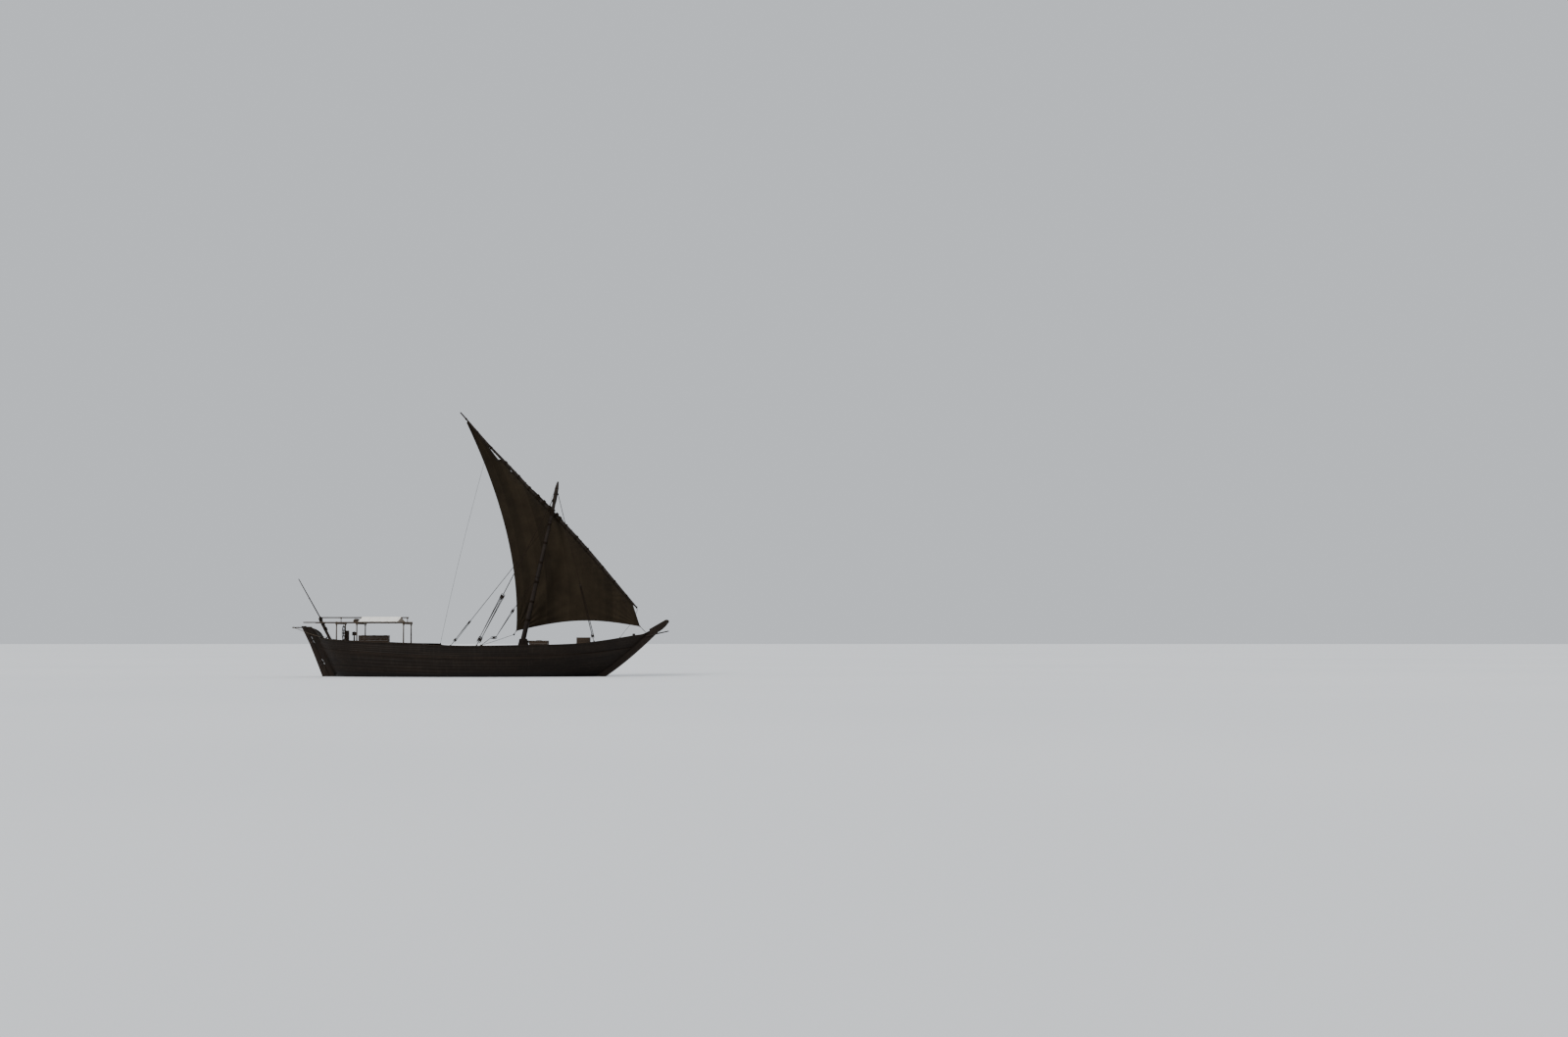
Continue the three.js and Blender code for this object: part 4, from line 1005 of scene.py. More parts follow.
def planked_hull():
    """The planked shell as one closed surface. Its strakes divide the height from keel to
    deck, and from deck to rail, into even shares, with a groove between strakes. Inside the
    bulwark the surface comes down to the deck and crosses it."""
    rows = sections()
    rail = rows[:, 1, None] - CAP_THICK
    deck = rows[:, 3, None]
    edges = np.arange(HULL_STRAKES + BULWARK_STRAKES)
    low = np.where(edges < HULL_STRAKES, mix(KEEL_TOP, deck, np.minimum(edges / HULL_STRAKES, 1)),
                   mix(deck, rail, (edges - HULL_STRAKES) / BULWARK_STRAKES))
    high = np.concatenate([low[:, 1:], rail], axis=1)
    shares = np.array([0.0, 0.02, 0.35, 0.68, 0.98])
    outer = outer_planks(rows, low, high, shares)
    under_cap = rail - 0.0003
    inner = skin(rows, mix(under_cap, deck, even(5)))
    inner[..., 1] = np.maximum(inner[..., 1] - PLANK_THICK, MIDDLE_GAP)
    port = np.concatenate([outer, skin(rows, under_cap), inner], axis=1)
    whole = np.concatenate([port, mirrored(port)[:, ::-1]], axis=1)
    lines = np.concatenate([np.repeat(edges, 5) + np.tile(shares, len(edges)), [len(edges)],
                            len(edges) + even(5)])
    v = np.concatenate([lines, lines[::-1] + STARBOARD_MAP, [STARBOARD_MAP]])
    u = rows[:, 0] * HULL_LENGTH
    uv = np.stack(np.meshgrid(u, v, indexing="ij"), axis=-1)
    strakes = np.concatenate([np.repeat(edges, 5), np.full(6, len(edges))])
    strakes = np.concatenate([strakes, strakes[::-1] + STARBOARD_TONES])
    tones = plank_tones(u, strakes)
    return surface(whole, wrap=True, caps=True, uv=uv, shade=tones).outward()


def strip_ring(rows, low, high, inset, outset, cut):
    """A plank's section between two heights, from inset inside the skin to outset outside,
    with its four corners cut."""
    bottom, top = skin(rows, low[:, None])[:, 0], skin(rows, high[:, None])[:, 0]
    corners = [(bottom, -inset + cut, 0), (bottom, -inset, cut), (top, -inset, -cut),
               (top, -inset + cut, 0), (top, outset - cut, 0), (top, outset, -cut),
               (bottom, outset, cut), (bottom, outset - cut, 0)]
    lines = [spots(at[:, 0], np.maximum(at[:, 1] + out, MIDDLE_GAP), at[:, 2] + up)
             for at, out, up in corners]
    return np.stack(lines, axis=1)


def both_sides(name, rings, finish, nodes):
    """A long strip on the port side and its mirror image to starboard."""
    for side, points in (("port", rings), ("starboard", mirrored(rings))):
        strip = surface(points, wrap=True, caps=True, soft=False).outward()
        edge_columns = np.tile([1, 0] * 4, len(points) - 1)
        strip.edge[: len(edge_columns)] = edge_columns
        piece(f"{name}_{side}", strip, finish, replaced=[f"{nodes}_{side}"])


def hull_pieces():
    """The planked hull, and on each side a rail cap and a rubbing wale below the deck's edge."""
    piece("hull_planking", planked_hull(), HULL,
          replaced=["hull", "bulwark_port", "bulwark_starboard"])
    rows = sections()
    rail, deck = rows[:, 1], rows[:, 3]
    cap = strip_ring(rows, rail - CAP_THICK, rail, 0.15, 0.06, 0.012)
    both_sides("rail", cap, TRIM, "rail_cap")
    wale = strip_ring(rows, deck - 0.33, deck - 0.13, -0.0003, 0.07, 0.014)
    both_sides("rubbing_wale", wale, TRIM, "wale")


def deck_top(x):
    """Height of the deck that is laid at an X."""
    rows = sections()
    places = skin(rows, rows[:, 3, None])[:, 0]
    base = np.interp(x, places[:, 0], places[:, 2])
    rise = np.where(x < POOP_BREAK, DECK_THICK + POOP_RISE, DECK_THICK)
    return base + np.where(x > FOREDECK_BREAK, DECK_THICK + FOREDECK_RISE, rise)


def side_at(x, z):
    """Half-breadth of the hull at an X and a height."""
    rows = sections()
    places = skin(rows, np.full((1, 1), z))[:, 0]
    return np.interp(x, places[:, 0], places[:, 1])


FRAME_HEADS = np.arange(-10.9, 13.6, 0.52)


def frame_heads():
    """Frame heads inside the bulwark: squared timbers from the deck up to the rail, at even
    steps, leaning as the side does."""
    x = FRAME_HEADS
    feet = deck_top(x) + 0.001
    tops = np.interp(x, ROWS[:, 0], ROWS[:, 1]) - CAP_THICK - 0.003
    low_y, top_y = (np.array([side_at(a, b) for a, b in zip(x, level)]) - PLANK_THICK - 0.0425
                    for level in (feet, tops))
    low, top = spots(x, low_y, feet), spots(x, top_y, tops)
    heads = timbers(np.concatenate([low, mirrored(low)]), np.concatenate([top, mirrored(top)]),
                    0.11, 0.085, up=(0, 1, 0), cut=0.01, seed=5)
    piece("frame_heads", heads, TRIM)


def cut_plate(outline, low, high, edge):
    """A thick upright plate along Y, cut to an outline in X and Z: four rings of the outline,
    the outer two drawn in by the width of the rounded edge."""
    after = np.roll(outline, -1, axis=0)
    following = after - np.roll(outline, 1, axis=0)
    inward = unit(spots(-following[:, 1], following[:, 0]))
    inward *= np.sign((outline[:, 0] * after[:, 1] - after[:, 0] * outline[:, 1]).sum())
    layers = [(low, edge), (low + edge, 0.0), (high - edge, 0.0), (high, edge)]
    rings = []
    for y, pull in layers:
        x, z = (outline + inward * pull).T
        rings.append(spots(x, y, z))
    shape = surface(np.array(rings), wrap=True, caps=True, soft=False)
    places = shape.points[shape.corners]
    shape.uv = spots(places[:, 0] * 0.75 + places[:, 2] * 0.66,
                     places[:, 2] * 0.75 - places[:, 0] * 0.66 + places[:, 1])
    return shape.outward()


# X and Z round the stemhead, from its fore edge over the top to the rail
STEMHEAD = np.array([[15.93, 3.7], [16.1, 3.82], [16.28, 3.98], [16.45, 4.16], [16.6, 4.35],
                     [16.655, 4.45], [16.64, 4.54], [16.56, 4.61], [16.42, 4.63],
                     [16.1, 4.455], [15.6, 4.17], [15.04, 3.85]])


def stem_piece():
    """Stem and stemhead: a thick plate cut to a smooth outline, its long edges rounded."""
    face = bezier(STEM_FACE, even(40))
    heights = np.linspace(3.72, KEEL_TOP, 40)
    inner = spots(bezier_x(RABBET, heights) + 0.001, heights)
    outline = np.concatenate([face, STEMHEAD, inner])
    piece("stem_timber", cut_plate(outline, -POST_HALF, POST_HALF, 0.03), TRIM, replaced=["stem"])


hull_pieces()
frame_heads()
stem_piece()


# Spars

MAST_LEAN = 0.2221
MAST_STEPS = [(0.3, 0.215), (3.5, 0.205), (8.5, 0.18), (13.5, 0.142), (14.46, 0.142),
              (14.65, 0.172), (15.4, 0.174), (15.8, 0.148), (16.1, 0.104), (16.36, 0.045)]
MAST_STRETCH = math.hypot(1, MAST_LEAN)
MAST_AXIS = unit((MAST_LEAN, 0, 1))
HEAD_BEND = 0.1
YARD_HEEL = np.array([14.0, 5.6])
YARD_PEAK = np.array([-0.59, 21.66])
YARD_BOW = 0.17
BOW_END = 0.68
PEAK_SAG = 0.07
YARD_Y = float(sum(corner.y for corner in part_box("yard")) / 2)
YARD_LENGTH = 21.6
SAIL_TOP = 0.955
LUFF_SHARE = 0.02
# Heights of the mast's rope bands
BAND_HEIGHTS = (4.6, 6.1, 7.7, 9.3, 10.9, 12.4)
# The pole lashed beside the yard, and the yard's bindings, as shares of the yard
FISH_ENDS = (0.27, 0.76)
BINDING_SHARES = (0.06, 0.13, 0.2, 0.29, 0.35, 0.41, 0.555, 0.61, 0.67, 0.74, 0.82, 0.9, 0.965)
# Doublings beside the mast: near end, far end and thickness. Their turns of rope: how far from
# the mast, and how much wider than the yard
DOUBLINGS = ((-0.0095, -0.05, 0.085), (0.0125, 0.115, 0.075))
DOUBLING_TURNS = ((-0.016, 0.05), (-0.034, 0.035), (0.021, 0.045), (0.052, 0.035), (0.084, 0.025))


def mast_x(z):
    """X of the mast's middle line: straight, with its head bent a little aft."""
    return 4.8 + MAST_LEAN * (z - 3.2) - HEAD_BEND * np.clip((z - 13.6) / 2.2, 0, 1)


def mast_radius(z):
    """The mast's radius at a height, read along the mast."""
    along = np.asarray(z, float) * MAST_STRETCH
    return np.interp(along, *np.array(MAST_STEPS).T)


def mast_point(z):
    """The middle of the mast at a height."""
    return np.array([mast_x(z), 0.0, z])


def yard_radius(share):
    """The yard's radius: a flattened sine, fullest a little below its middle."""
    way = np.clip(np.asarray(share, float), 0, 1) ** 0.7
    return mix(0.052, 0.152, np.clip(hump(way), 0, 1) ** 0.8)


def yard_at(share, off=0.0):
    """A point of the yard's middle line in X and Z, pushed square to it by off. The lower part
    bends upwards and the part near the peak sags a little, both as a squared sine."""
    share = np.asarray(share, float)[..., None]
    run = YARD_PEAK - YARD_HEEL
    square = np.array([run[1], -run[0]]) / np.hypot(*run)
    push = YARD_BOW * hump(np.clip(share / BOW_END, 0, 1)) ** 2
    push = push - PEAK_SAG * hump(np.clip((share - BOW_END) / (1 - BOW_END), 0, 1)) ** 2
    return YARD_HEEL + run * share + square * (push + np.asarray(off)[..., None])


def crossing():
    """The share of the yard where it crosses the mast."""
    share = even(4001)
    x, z = yard_at(share).T
    return float(share[np.argmin(np.abs(x - mast_x(z)))])


CROSSING = crossing()


def on_yard(share, off=0.0, y=0.0):
    """Points of the yard's middle line in space, pushed square to it by off and y."""
    x, z = yard_at(share, off).T
    return spots(x, YARD_Y + y, z)


def way_of_yard(share):
    """The yard's direction at a share of its length."""
    at = np.array([share])
    return unit(on_yard(at + 0.001)[0] - on_yard(at - 0.001)[0])


def fish_width(share, width):
    """The width that the pole beside the yard adds at a share, or nothing beyond its ends."""
    return width if FISH_ENDS[0] < share < FISH_ENDS[1] else 0.0


def mast_pieces():
    """The mast, and the rope bands round it."""
    z = np.concatenate([np.linspace(1.8, 13.0, 50), np.linspace(13.1, 15.93, 60)])
    path = spots(mast_x(z), 0, z)
    radii = np.maximum(mast_radius(z) - 0.001, 0.008)
    piece("mast_spar", spar(path, radii, 32, 3, 0.008, up=(1, 0, 0)), SPAR, replaced=["mast"])
    bands = [coil(mast_point(at), MAST_AXIS, mast_radius(at) + 0.012, 6, 0.014)
             for at in BAND_HEIGHTS]
    piece("mast_bands", bands, DARK_ROPE)


def doublings():
    """Two timbers on the yard's upper side, one each way from the mast. Away from it each
    thins as the square root of what is left of its length."""
    thinning = np.clip(np.linspace(0.55, 0, 40) ** 0.5, 0, 1)
    made = []
    for near, far, thick in DOUBLINGS:
        share = CROSSING + np.linspace(near, far, 40)
        lie = on_yard(share, yard_radius(share) - 0.02 * thinning)
        made.append(spar(lie, 0.02 + thick * thinning, 16, 10, 0.01, up=(0, 1, 0)))
    return made


def yard_pieces():
    """The yard, the pole lashed beside its middle, its doublings, and the rope round them."""
    share = even(121)
    bar = spar(on_yard(share), yard_radius(share) - 0.001, 28, 8, 0.01, up=(0, 1, 0))
    fish_share = np.linspace(*FISH_ENDS, 80)
    taper = np.clip(hump(even(80)), 0, 1) ** 0.45
    reach = yard_radius(fish_share) - 0.02
    fish = spar(on_yard(fish_share, 0.0, reach), 0.012 + 0.058 * taper, 16, 9, 0.01, up=(0, 1, 0))
    piece("yard_spar", [bar, fish, *doublings()], SPAR, "yard_unit", ["yard"])
    bindings = []
    for at in BINDING_SHARES:
        wide = fish_width(at, 0.024)
        centre = on_yard(np.array([at]), 0.0, wide)[0]
        bindings.append(coil(centre, way_of_yard(at), yard_radius(at) + 0.012 + wide, 7, 0.011))
    for step, swell in DOUBLING_TURNS:
        at = CROSSING + step
        centre = on_yard(np.array([at]), swell)[0]
        bindings.append(coil(centre, way_of_yard(at), yard_radius(at) + swell + 0.03, 8, 0.014))
    piece("yard_bindings", bindings, DARK_ROPE, "yard_unit")


def parrel_rope():
    """The parrel: turns of thick rope round the mast, and a lashing that takes in both mast
    and yard. Each turn of the lashing is the outline of two circles held by a belt."""
    x, z = yard_at(np.array([CROSSING]))[0]
    centre = np.array([x, 0.0, z])
    thick, mast_face = 0.023, 0.1432
    turns = [coil(centre, MAST_AXIS, mast_face + thick + 0.001, 4.5, thick, steps=32)]
    athwart = np.array([0, 1, 0])
    across = unit(np.cross(MAST_AXIS, athwart))
    mast_r, yard_r = 0.2, yard_radius(CROSSING) + 0.02
    angle = angles(48)
    near = np.cos(angle) < 0
    radius = np.where(near, mast_r, yard_r)[:, None]
    middle = centre + np.where(near, 0.0, YARD_Y)[:, None] * athwart
    radial = np.cos(angle)[:, None] * athwart + np.sin(angle)[:, None] * across
    for lift in (-0.2, 0.2):
        for row in (-0.025, 0.025):
            path = middle + (lift + row) * MAST_AXIS + radius * radial
            turns.append(rope(path, thick, up=radial, closed=True))
    piece("parrel_rope", turns, DARK_ROPE, "yard_unit", ["parrel"])


mast_pieces()
yard_pieces()
parrel_rope()


# Sail

TACK = np.array([14.25, 4.08])
CLEW = np.array([4.15, 3.72])
LEECH_PULL = np.array([4.55, 11.2])
FOOT_RISE = 0.66
BELLY = 1.15
CLOTH = 0.6
SAIL_THICK = 0.006
LACING_STEP = 0.6


def fore_edge(up):
    """The sail's fore edge: up a short luff from the tack, then along under the yard."""
    knots = np.sort(np.append(np.arange(1, 16) / 16, [LUFF_SHARE, CROSSING, SAIL_TOP]))
    place = up * (len(knots) + 1)
    share = np.interp(place, 2 + np.arange(len(knots)), knots)
    under = yard_at(share, 0.012 - yard_radius(share))
    start = yard_at(knots[:1], 0.012 - yard_radius(knots[:1]))[0]
    luff = mix(TACK, start, np.clip(place / 2, 0, 1)[:, None])
    return np.where((place < 2)[:, None], luff, under), share, place


def slits(share):
    """How far the cloth hangs off the yard in its two slits of light, below the peak: each
    opens slowly from its upper end and closes quickly at its lower one."""
    long = np.clip((0.838 - share) / 0.071, 0, 1) * np.clip((share - 0.764) / 0.006, 0, 1)
    short = np.clip((0.712 - share) / 0.012, 0, 1) * np.clip((share - 0.698) / 0.004, 0, 1)
    return 0.15 * long + 0.06 * short


def leech_curve(up):
    """Points of the sail's leech in X and Z, from the clew to the head under the yard."""
    head = yard_at(np.array([SAIL_TOP]), -yard_radius(SAIL_TOP) - 0.09)[0]
    return bezier(np.array([CLEW, LEECH_PULL, head]), up)


def fan_folds(x, z, corner, way, count, height, reach, bare):
    """Folds that fan from a corner of the sail: a sine of the angle there, which fades out
    with the distance over reach, and in over bare."""
    away = np.hypot(x - corner[0], z - corner[1])
    fan = np.arctan2(z - corner[1], way * (x - corner[0]))
    return height * np.sin(fan * count) * np.exp(-away / reach) * np.clip(away / bare, 0, 1)


def sail_surface(rows=300, columns=150):
    """The sail between its fore edge and its leech. It bellies to port with the sine of the
    way across. Each cloth bulges a little between its seams, and folds fan from the tack and
    the clew. The edge sags between the lacings as a sine, and gathers at each."""
    up = even(rows)
    edge, share, place = fore_edge(up)
    leech = leech_curve(up)
    laced = (place > 2)[:, None]
    lacings = (share * YARD_LENGTH / LACING_STEP)[:, None]
    across = even(columns)[None, :]
    u = up[:, None]
    x = mix(edge[:, :1], leech[:, :1], across)
    z = mix(edge[:, 1:], leech[:, 1:], across)
    z = z + FOOT_RISE * hump(across) * (1 - u) ** 3
    sag = 0.012 * np.abs(hump(lacings)) * laced
    hang = (sag + slits(share)[:, None] * laced) * (1 - across) ** 6
    x, z = x - 0.68 * hang, z - 0.73 * hang
    belly = BELLY * hump(across**0.8) * (1 - u**2) ** 0.8
    width = np.linalg.norm(edge - leech, axis=1)[:, None]
    from_leech = (1 - across) * width
    quilt = 0.016 * np.abs(hump(from_leech / CLOTH)) ** 0.6
    folds = (fan_folds(x, z, TACK, -1, 34, 0.05, 2.6, 0.6)
             + fan_folds(x, z, CLEW, 1, 30, 0.055, 2.8, 0.7))
    gathers = 0.018 * np.cos(TAU * lacings) * np.exp(-across * 9) * laced
    flutter = 0.03 * np.sin(u * 40) * np.exp(-(1 - across) * 16)
    y = YARD_Y + belly + (quilt + folds + gathers + flutter) * np.clip(belly * 6 + 0.15, 0, 1)
    points = spots(x, y, z)
    uv = spots(from_leech, distances(leech)[:, None])
    return points, uv


def edging(name, points, radius, finish, body):
    """A rope sewn round a cloth's edge."""
    loop = np.concatenate([points[0, :-1], points[:-1, -1], points[-1, :0:-1], points[:0:-1, 0]])
    closed_loop = np.concatenate([loop, loop[:1]])
    length = distances(closed_loop)
    along = np.linspace(0, length[-1], int(length[-1] / 0.09))[:-1]
    path = spots(*(np.interp(along, length, values) for values in closed_loop.T))
    hem = rope(path, radius, up=(0, 1, 0.02), sides=6, closed=True)
    return piece(name, hem, finish, body)


def sail_pieces():
    """The sail and the rope round its edge."""
    points, uv = sail_surface()
    sail = piece("sail_cloth", shell(points, SAIL_THICK, uv), SAIL, "yard_unit", ["sail"])
    hem = edging("sail_edge_rope", points, 0.013, DARK_ROPE, "yard_unit")


def sail_lacing():
    """The turns of line that lace the sail to the yard, none of them at the mast."""
    loops = []
    for share in np.arange(1.1 / YARD_LENGTH, SAIL_TOP, LACING_STEP / YARD_LENGTH):
        if abs(share - CROSSING) < 0.02:
            continue
        wide = fish_width(share, 0.03)
        centre = on_yard(np.array([share]), -0.012, wide)[0]
        radius = float(yard_radius(share)) + wide + 0.016
        loops.append(coil(centre, way_of_yard(share), radius, 2, 0.008, steps=28))
    piece("sail_lacing", loops, DARK_LINE, "yard_unit")


def corner_eyes():
    """A rope eye at the sail's tack and at its clew."""
    rings = [coil((x, YARD_Y, z), (0, 1, 0), 0.06, 2, 0.016) for x, z in (TACK, CLEW)]
    piece("sail_corner_eyes", rings, ROPE, "yard_unit")


sail_pieces()
sail_lacing()
corner_eyes()


# Rigging: a line from the mast, an upper block, its falls and a lower block at the rail


def rail_at(x):
    """The middle of the starboard rail's top at an X."""
    half = np.interp(x, ROWS[:, 0], ROWS[:, 2])
    return np.array([x, -(half - 0.045), np.interp(x, ROWS[:, 0], ROWS[:, 1])])


def port_rail(x):
    """A place just above the port rail at an X, where a line is belayed."""
    return mirrored(rail_at(x)) + (0, 0, 0.03)


def cheek(length_half, width_half, thick, sides=28):
    """A flat oval plate, domed at its edge: four rings of an oval, the two inner ones full
    size and the two outer ones drawn in, from one face to the other."""
    angle = angles(sides)
    long, wide = (np.sign(wave) * np.abs(wave) ** 0.8 for wave in (np.cos(angle), np.sin(angle)))
    oval = spots(long * length_half, wide * width_half)
    rings = [np.column_stack([oval * pull, np.full(sides, level * thick / 2)])
             for level, pull in ((-1, 0.8), (-0.55, 1.0), (0.55, 1.0), (1, 0.8))]
    return surface(np.array(rings), wrap=True, caps=True).outward()


def block(centre, along, size, sheaves=1):
    """A slim rope block: oval cheeks side by side, a turned sheave between each two, and a
    rope strop round the lot in its groove. Gives the wooden parts and the strop."""
    along = unit(along)
    axle = unit(np.cross(along, (0, 1, 0)))
    side = np.cross(axle, along)
    axes = np.stack([along, side, axle], axis=1)
    thick, room = size * 0.11, size * 0.13
    pitch = thick + room
    plate = cheek(size / 2, size * 0.3, thick)
    parts = [plate.moved(axes, centre + axle * (k - sheaves / 2) * pitch)
             for k in range(sheaves + 1)]
    groove = np.array([0.25, 0.25, 0.2, 0.25, 0.25]) * size
    for k in range(sheaves):
        at = centre + axle * (k - (sheaves - 1) / 2) * pitch
        half = axle * room * 0.45
        parts.append(turned(at - half, at + half, [0, 0.2, 0.5, 0.8, 1], groove, 24, 0.8))
    reach = pitch * sheaves / 2 + thick / 2 + 0.012
    angle = angles(32)
    belt = centre + np.outer(np.cos(angle) * size * 0.52, along)
    belt = belt + np.outer(np.sign(np.sin(angle)) * np.abs(np.sin(angle)) ** 0.35 * reach, axle)
    return parts, [rope(belt, 0.013, up=side, closed=True)]


def straight(start, end, thick, count=2, up=(0, 1, 0)):
    """A taut rope from start to end."""
    return rope(line(start, end, count), thick, up=up)


def falls_between(top, bottom, falls, spread, thick):
    """The parts of one rope that run side by side between two blocks, each slightly askew."""
    across = unit(np.cross(unit(bottom - top), (0, 1, 0))) * spread
    made = []
    for k in range(falls):
        shift = k - (falls - 1) / 2
        foot = shift * 0.9 + 0.5 * (-1) ** k
        made.append(straight(top + across * shift, bottom + across * foot, thick, 30))
    return made


def tackle(name, nodes, mast_z, rail_x, upper, lower, falls, size, thick, fall_thick, knee=None):
    """A line from the mast to an upper block, its falls side by side down to a lower block,
    and a lashing from that to the rail. upper and lower are shares of the whole length. knee
    is the middle of a lower block that lies nearly level, short of the rail, and the X of the
    rail where it is lashed."""
    start, end = mast_point(mast_z), rail_at(rail_x)
    top, bottom, last_way = mix(start, end, upper), mix(start, end, lower), unit(end - start)
    if knee:
        bottom, last_way, end = np.array(knee[0]), unit((-1.0, -0.12, -0.06)), rail_at(knee[1])
    half = size / 2
    first_way = unit(bottom - last_way * half - top)
    parts, strops = block(top, first_way, size, max(1, falls // 2))
    more_parts, more_strops = block(bottom, last_way, size, max(1, (falls + 1) // 2))
    ropes = [straight(start, top - first_way * half, thick, 40),
             coil(start, MAST_AXIS, mast_radius(mast_z) + 0.008, 3, 0.011),
             coil(mix(start, top, 0.06), unit(top - start), thick * 1.3, 8, thick * 0.35),
             *strops, *more_strops,
             straight(bottom + last_way * half, end, thick * 0.9, 8),
             coil(end + (0, 0, 0.03), (1, 0, 0), 0.045, 3, 0.014)]
    lines = falls_between(top + first_way * size * 0.2, bottom - last_way * size * 0.3, falls,
                          size * 0.17, fall_thick)
    piece(name, parts + more_parts, BLOCK)
    piece(f"{name}_rope", ropes, DARK_ROPE, replaced=nodes)
    piece(f"{name}_falls", lines, DARK_LINE)


tackle("forestay_blocks", ["forestay"], 15.35, 10.72, 0.64, 0.965, 3, 0.34, 0.026, 0.031)
tackle("shroud_blocks", ["shroud"], 12.7, -0.58, 0.815, 0.955, 3, 0.3, 0.024, 0.02)
tackle("side_tackle_blocks", ["side_tackle"], 8.08, 2.35, 0.5, 0.93, 2, 0.46, 0.024, 0.024,
       knee=((2.83, -3.5, 3.15), 1.84))
tackle("halyard_blocks", ["halyard", "halyard_purchase"], 14.9, 1.5, 0.683, 0.961, 4, 0.5, 0.034,
       0.027)


def leech_at(z):
    """The point of the sail's leech at a height."""
    x, height = leech_curve(even(2001)).T
    return (float(np.interp(z, height, x)), YARD_Y, z)


SHEET_BLOCK = np.array([3.9, 0.82, 3.42])


def clew_and_heel():
    """The sheet's block, which hangs from the clew, and the lashing at the yard's heel."""
    clew = np.array([CLEW[0], YARD_Y, CLEW[1]])
    way = unit(SHEET_BLOCK - clew)
    parts, strops = block(SHEET_BLOCK, way, 0.22)
    piece("sheet_block", parts, BLOCK, "yard_unit")
    strops.append(straight(clew, SHEET_BLOCK - way * 0.11, 0.02, 10, (0, 1, 0.1)))
    piece("sheet_block_strop", strops, DARK_ROPE, "yard_unit")
    heel = np.array([[14.02, YARD_Y, 5.57], [14.06, YARD_Y, 5.35], [13.92, YARD_Y, 5.12]])
    lashing = [rope(bezier(heel, even(20)), 0.018, up=(0, 1, 0)),
               coil((13.98, YARD_Y, 5.62), unit((-0.67, 0, 0.74)), 0.07, 4, 0.014)]
    piece("heel_lashing", lashing, DARK_ROPE, "yard_unit")


def control_lines():
    """Lines from the sail and yard to the boat. Each has its
    thickness and three points that it passes through."""
    rows = {
        "sail_sheet": (0.016, [SHEET_BLOCK, (2.4, 2.3, 2.97), port_rail(0.87)]),
        "vang": (0.01, [leech_at(17.5), (-0.75, 2.0, 9.9), port_rail(-2.58)]),
        "tack_rope": (0.024, [(TACK[0], YARD_Y, TACK[1]), (14.5, 0.26, 3.83), (14.72, 0.2, 3.6)]),
        "bow_line": (0.014, [(13.44, YARD_Y + 0.46, 4.23), (12.98, 1.08, 3.7), port_rail(12.55)]),
        "yard_lift": (0.012, [(6.88, YARD_Y - 0.02, 14.42), (7.03, 0.2, 14.75), (7.27, 0.05, 15.05)]),
    }
    for name, (radius, points) in rows.items():
        curve = np.array(points, float)
        curve[1] = 2 * curve[1] - (curve[0] + curve[2]) / 2
        path = bezier(curve, even(60))
        made = piece(name, rope(path, radius, up=(0, 1, 0.1)), DARK_LINE, ride=False)
        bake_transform(made)
    belays = [coil(rows[name][1][-1], (1, 0, 0.1), 0.05, 3, 0.012)
              for name in ("sail_sheet", "vang", "bow_line")]
    piece("port_belays", belays, DARK_LINE)


clew_and_heel()
control_lines()


# Steering

HINGE_AFT = 0.49
POST_DEPTH = 0.356
# Lower and upper ends of the fillers
FILLER_ENDS = [(-2.32, -1.9), (-1.5, -0.62), (-0.2, 0.95), (1.38, 2.7), (3.2, 4.0)]
# X of the hinge's line at the waterline. Rudder irons: where each lies along that line, and
# how far its straps reach aft
HINGE_X = -11.02
RUDDER_IRONS = ((-1.9, 0.8), (-0.45, 0.6), (1.3, 0.34), (3.3, 0.24))
ARM_Z = 3.98
WHEEL_CENTRE = np.array([-9.9, 0.0, 3.52])
RIM_RADIUS = 0.5925
SPOKE_REACH = 0.757


def post_fillers():
    """Timbers on the sternpost's aft face that nearly close the way to the rudder's rounded
    nose, with gaps where the irons are."""
    square = np.array([math.cos(RAKE), 0, math.sin(RAKE)])
    near, far = 0.083, (HINGE_AFT - POST_DEPTH) * math.cos(RAKE)
    low, high = (spots(stern_x(z) - HINGE_AFT, 0, z) + square * (near + far) / 2
                 for z in np.array(FILLER_ENDS).T)
    fillers = timbers(low, high, 0.26, far - near, up=square, cut=0.006, seed=9)
    piece("post_fillers", fillers, TRIM)


post_fillers()


def rudder_irons():
    """Straps each side of the rudder, in pairs at each iron, with four bolts in a strap."""
    up_line = np.array([-math.sin(RAKE), 0, math.cos(RAKE)])
    aft = np.array([-math.cos(RAKE), 0, -math.sin(RAKE)])
    straps, bolts = [], []
    for along, long in RUDDER_IRONS:
        centre = np.array([HINGE_X, 0, 0]) + up_line * along
        for level in (-0.15, 0.15):
            for side in (-1, 1):
                start = centre + up_line * level + aft * 0.02 + (0, side * 0.074, 0)
                straps.append(timbers([start], [start + aft * long], 0.07, 0.012, up=(0, 1, 0),
                                      cut=0.004))
                for k in np.linspace(0.12, 0.9, 4):
                    at = start + aft * long * k
                    bolts.append(turned(at, at + (0, side * 0.02, 0), [0, 0.5, 1],
                                        [0.016, 0.016, 0.006], 8))
    piece("rudder_irons", straps + bolts, IRON, "rudder_unit")


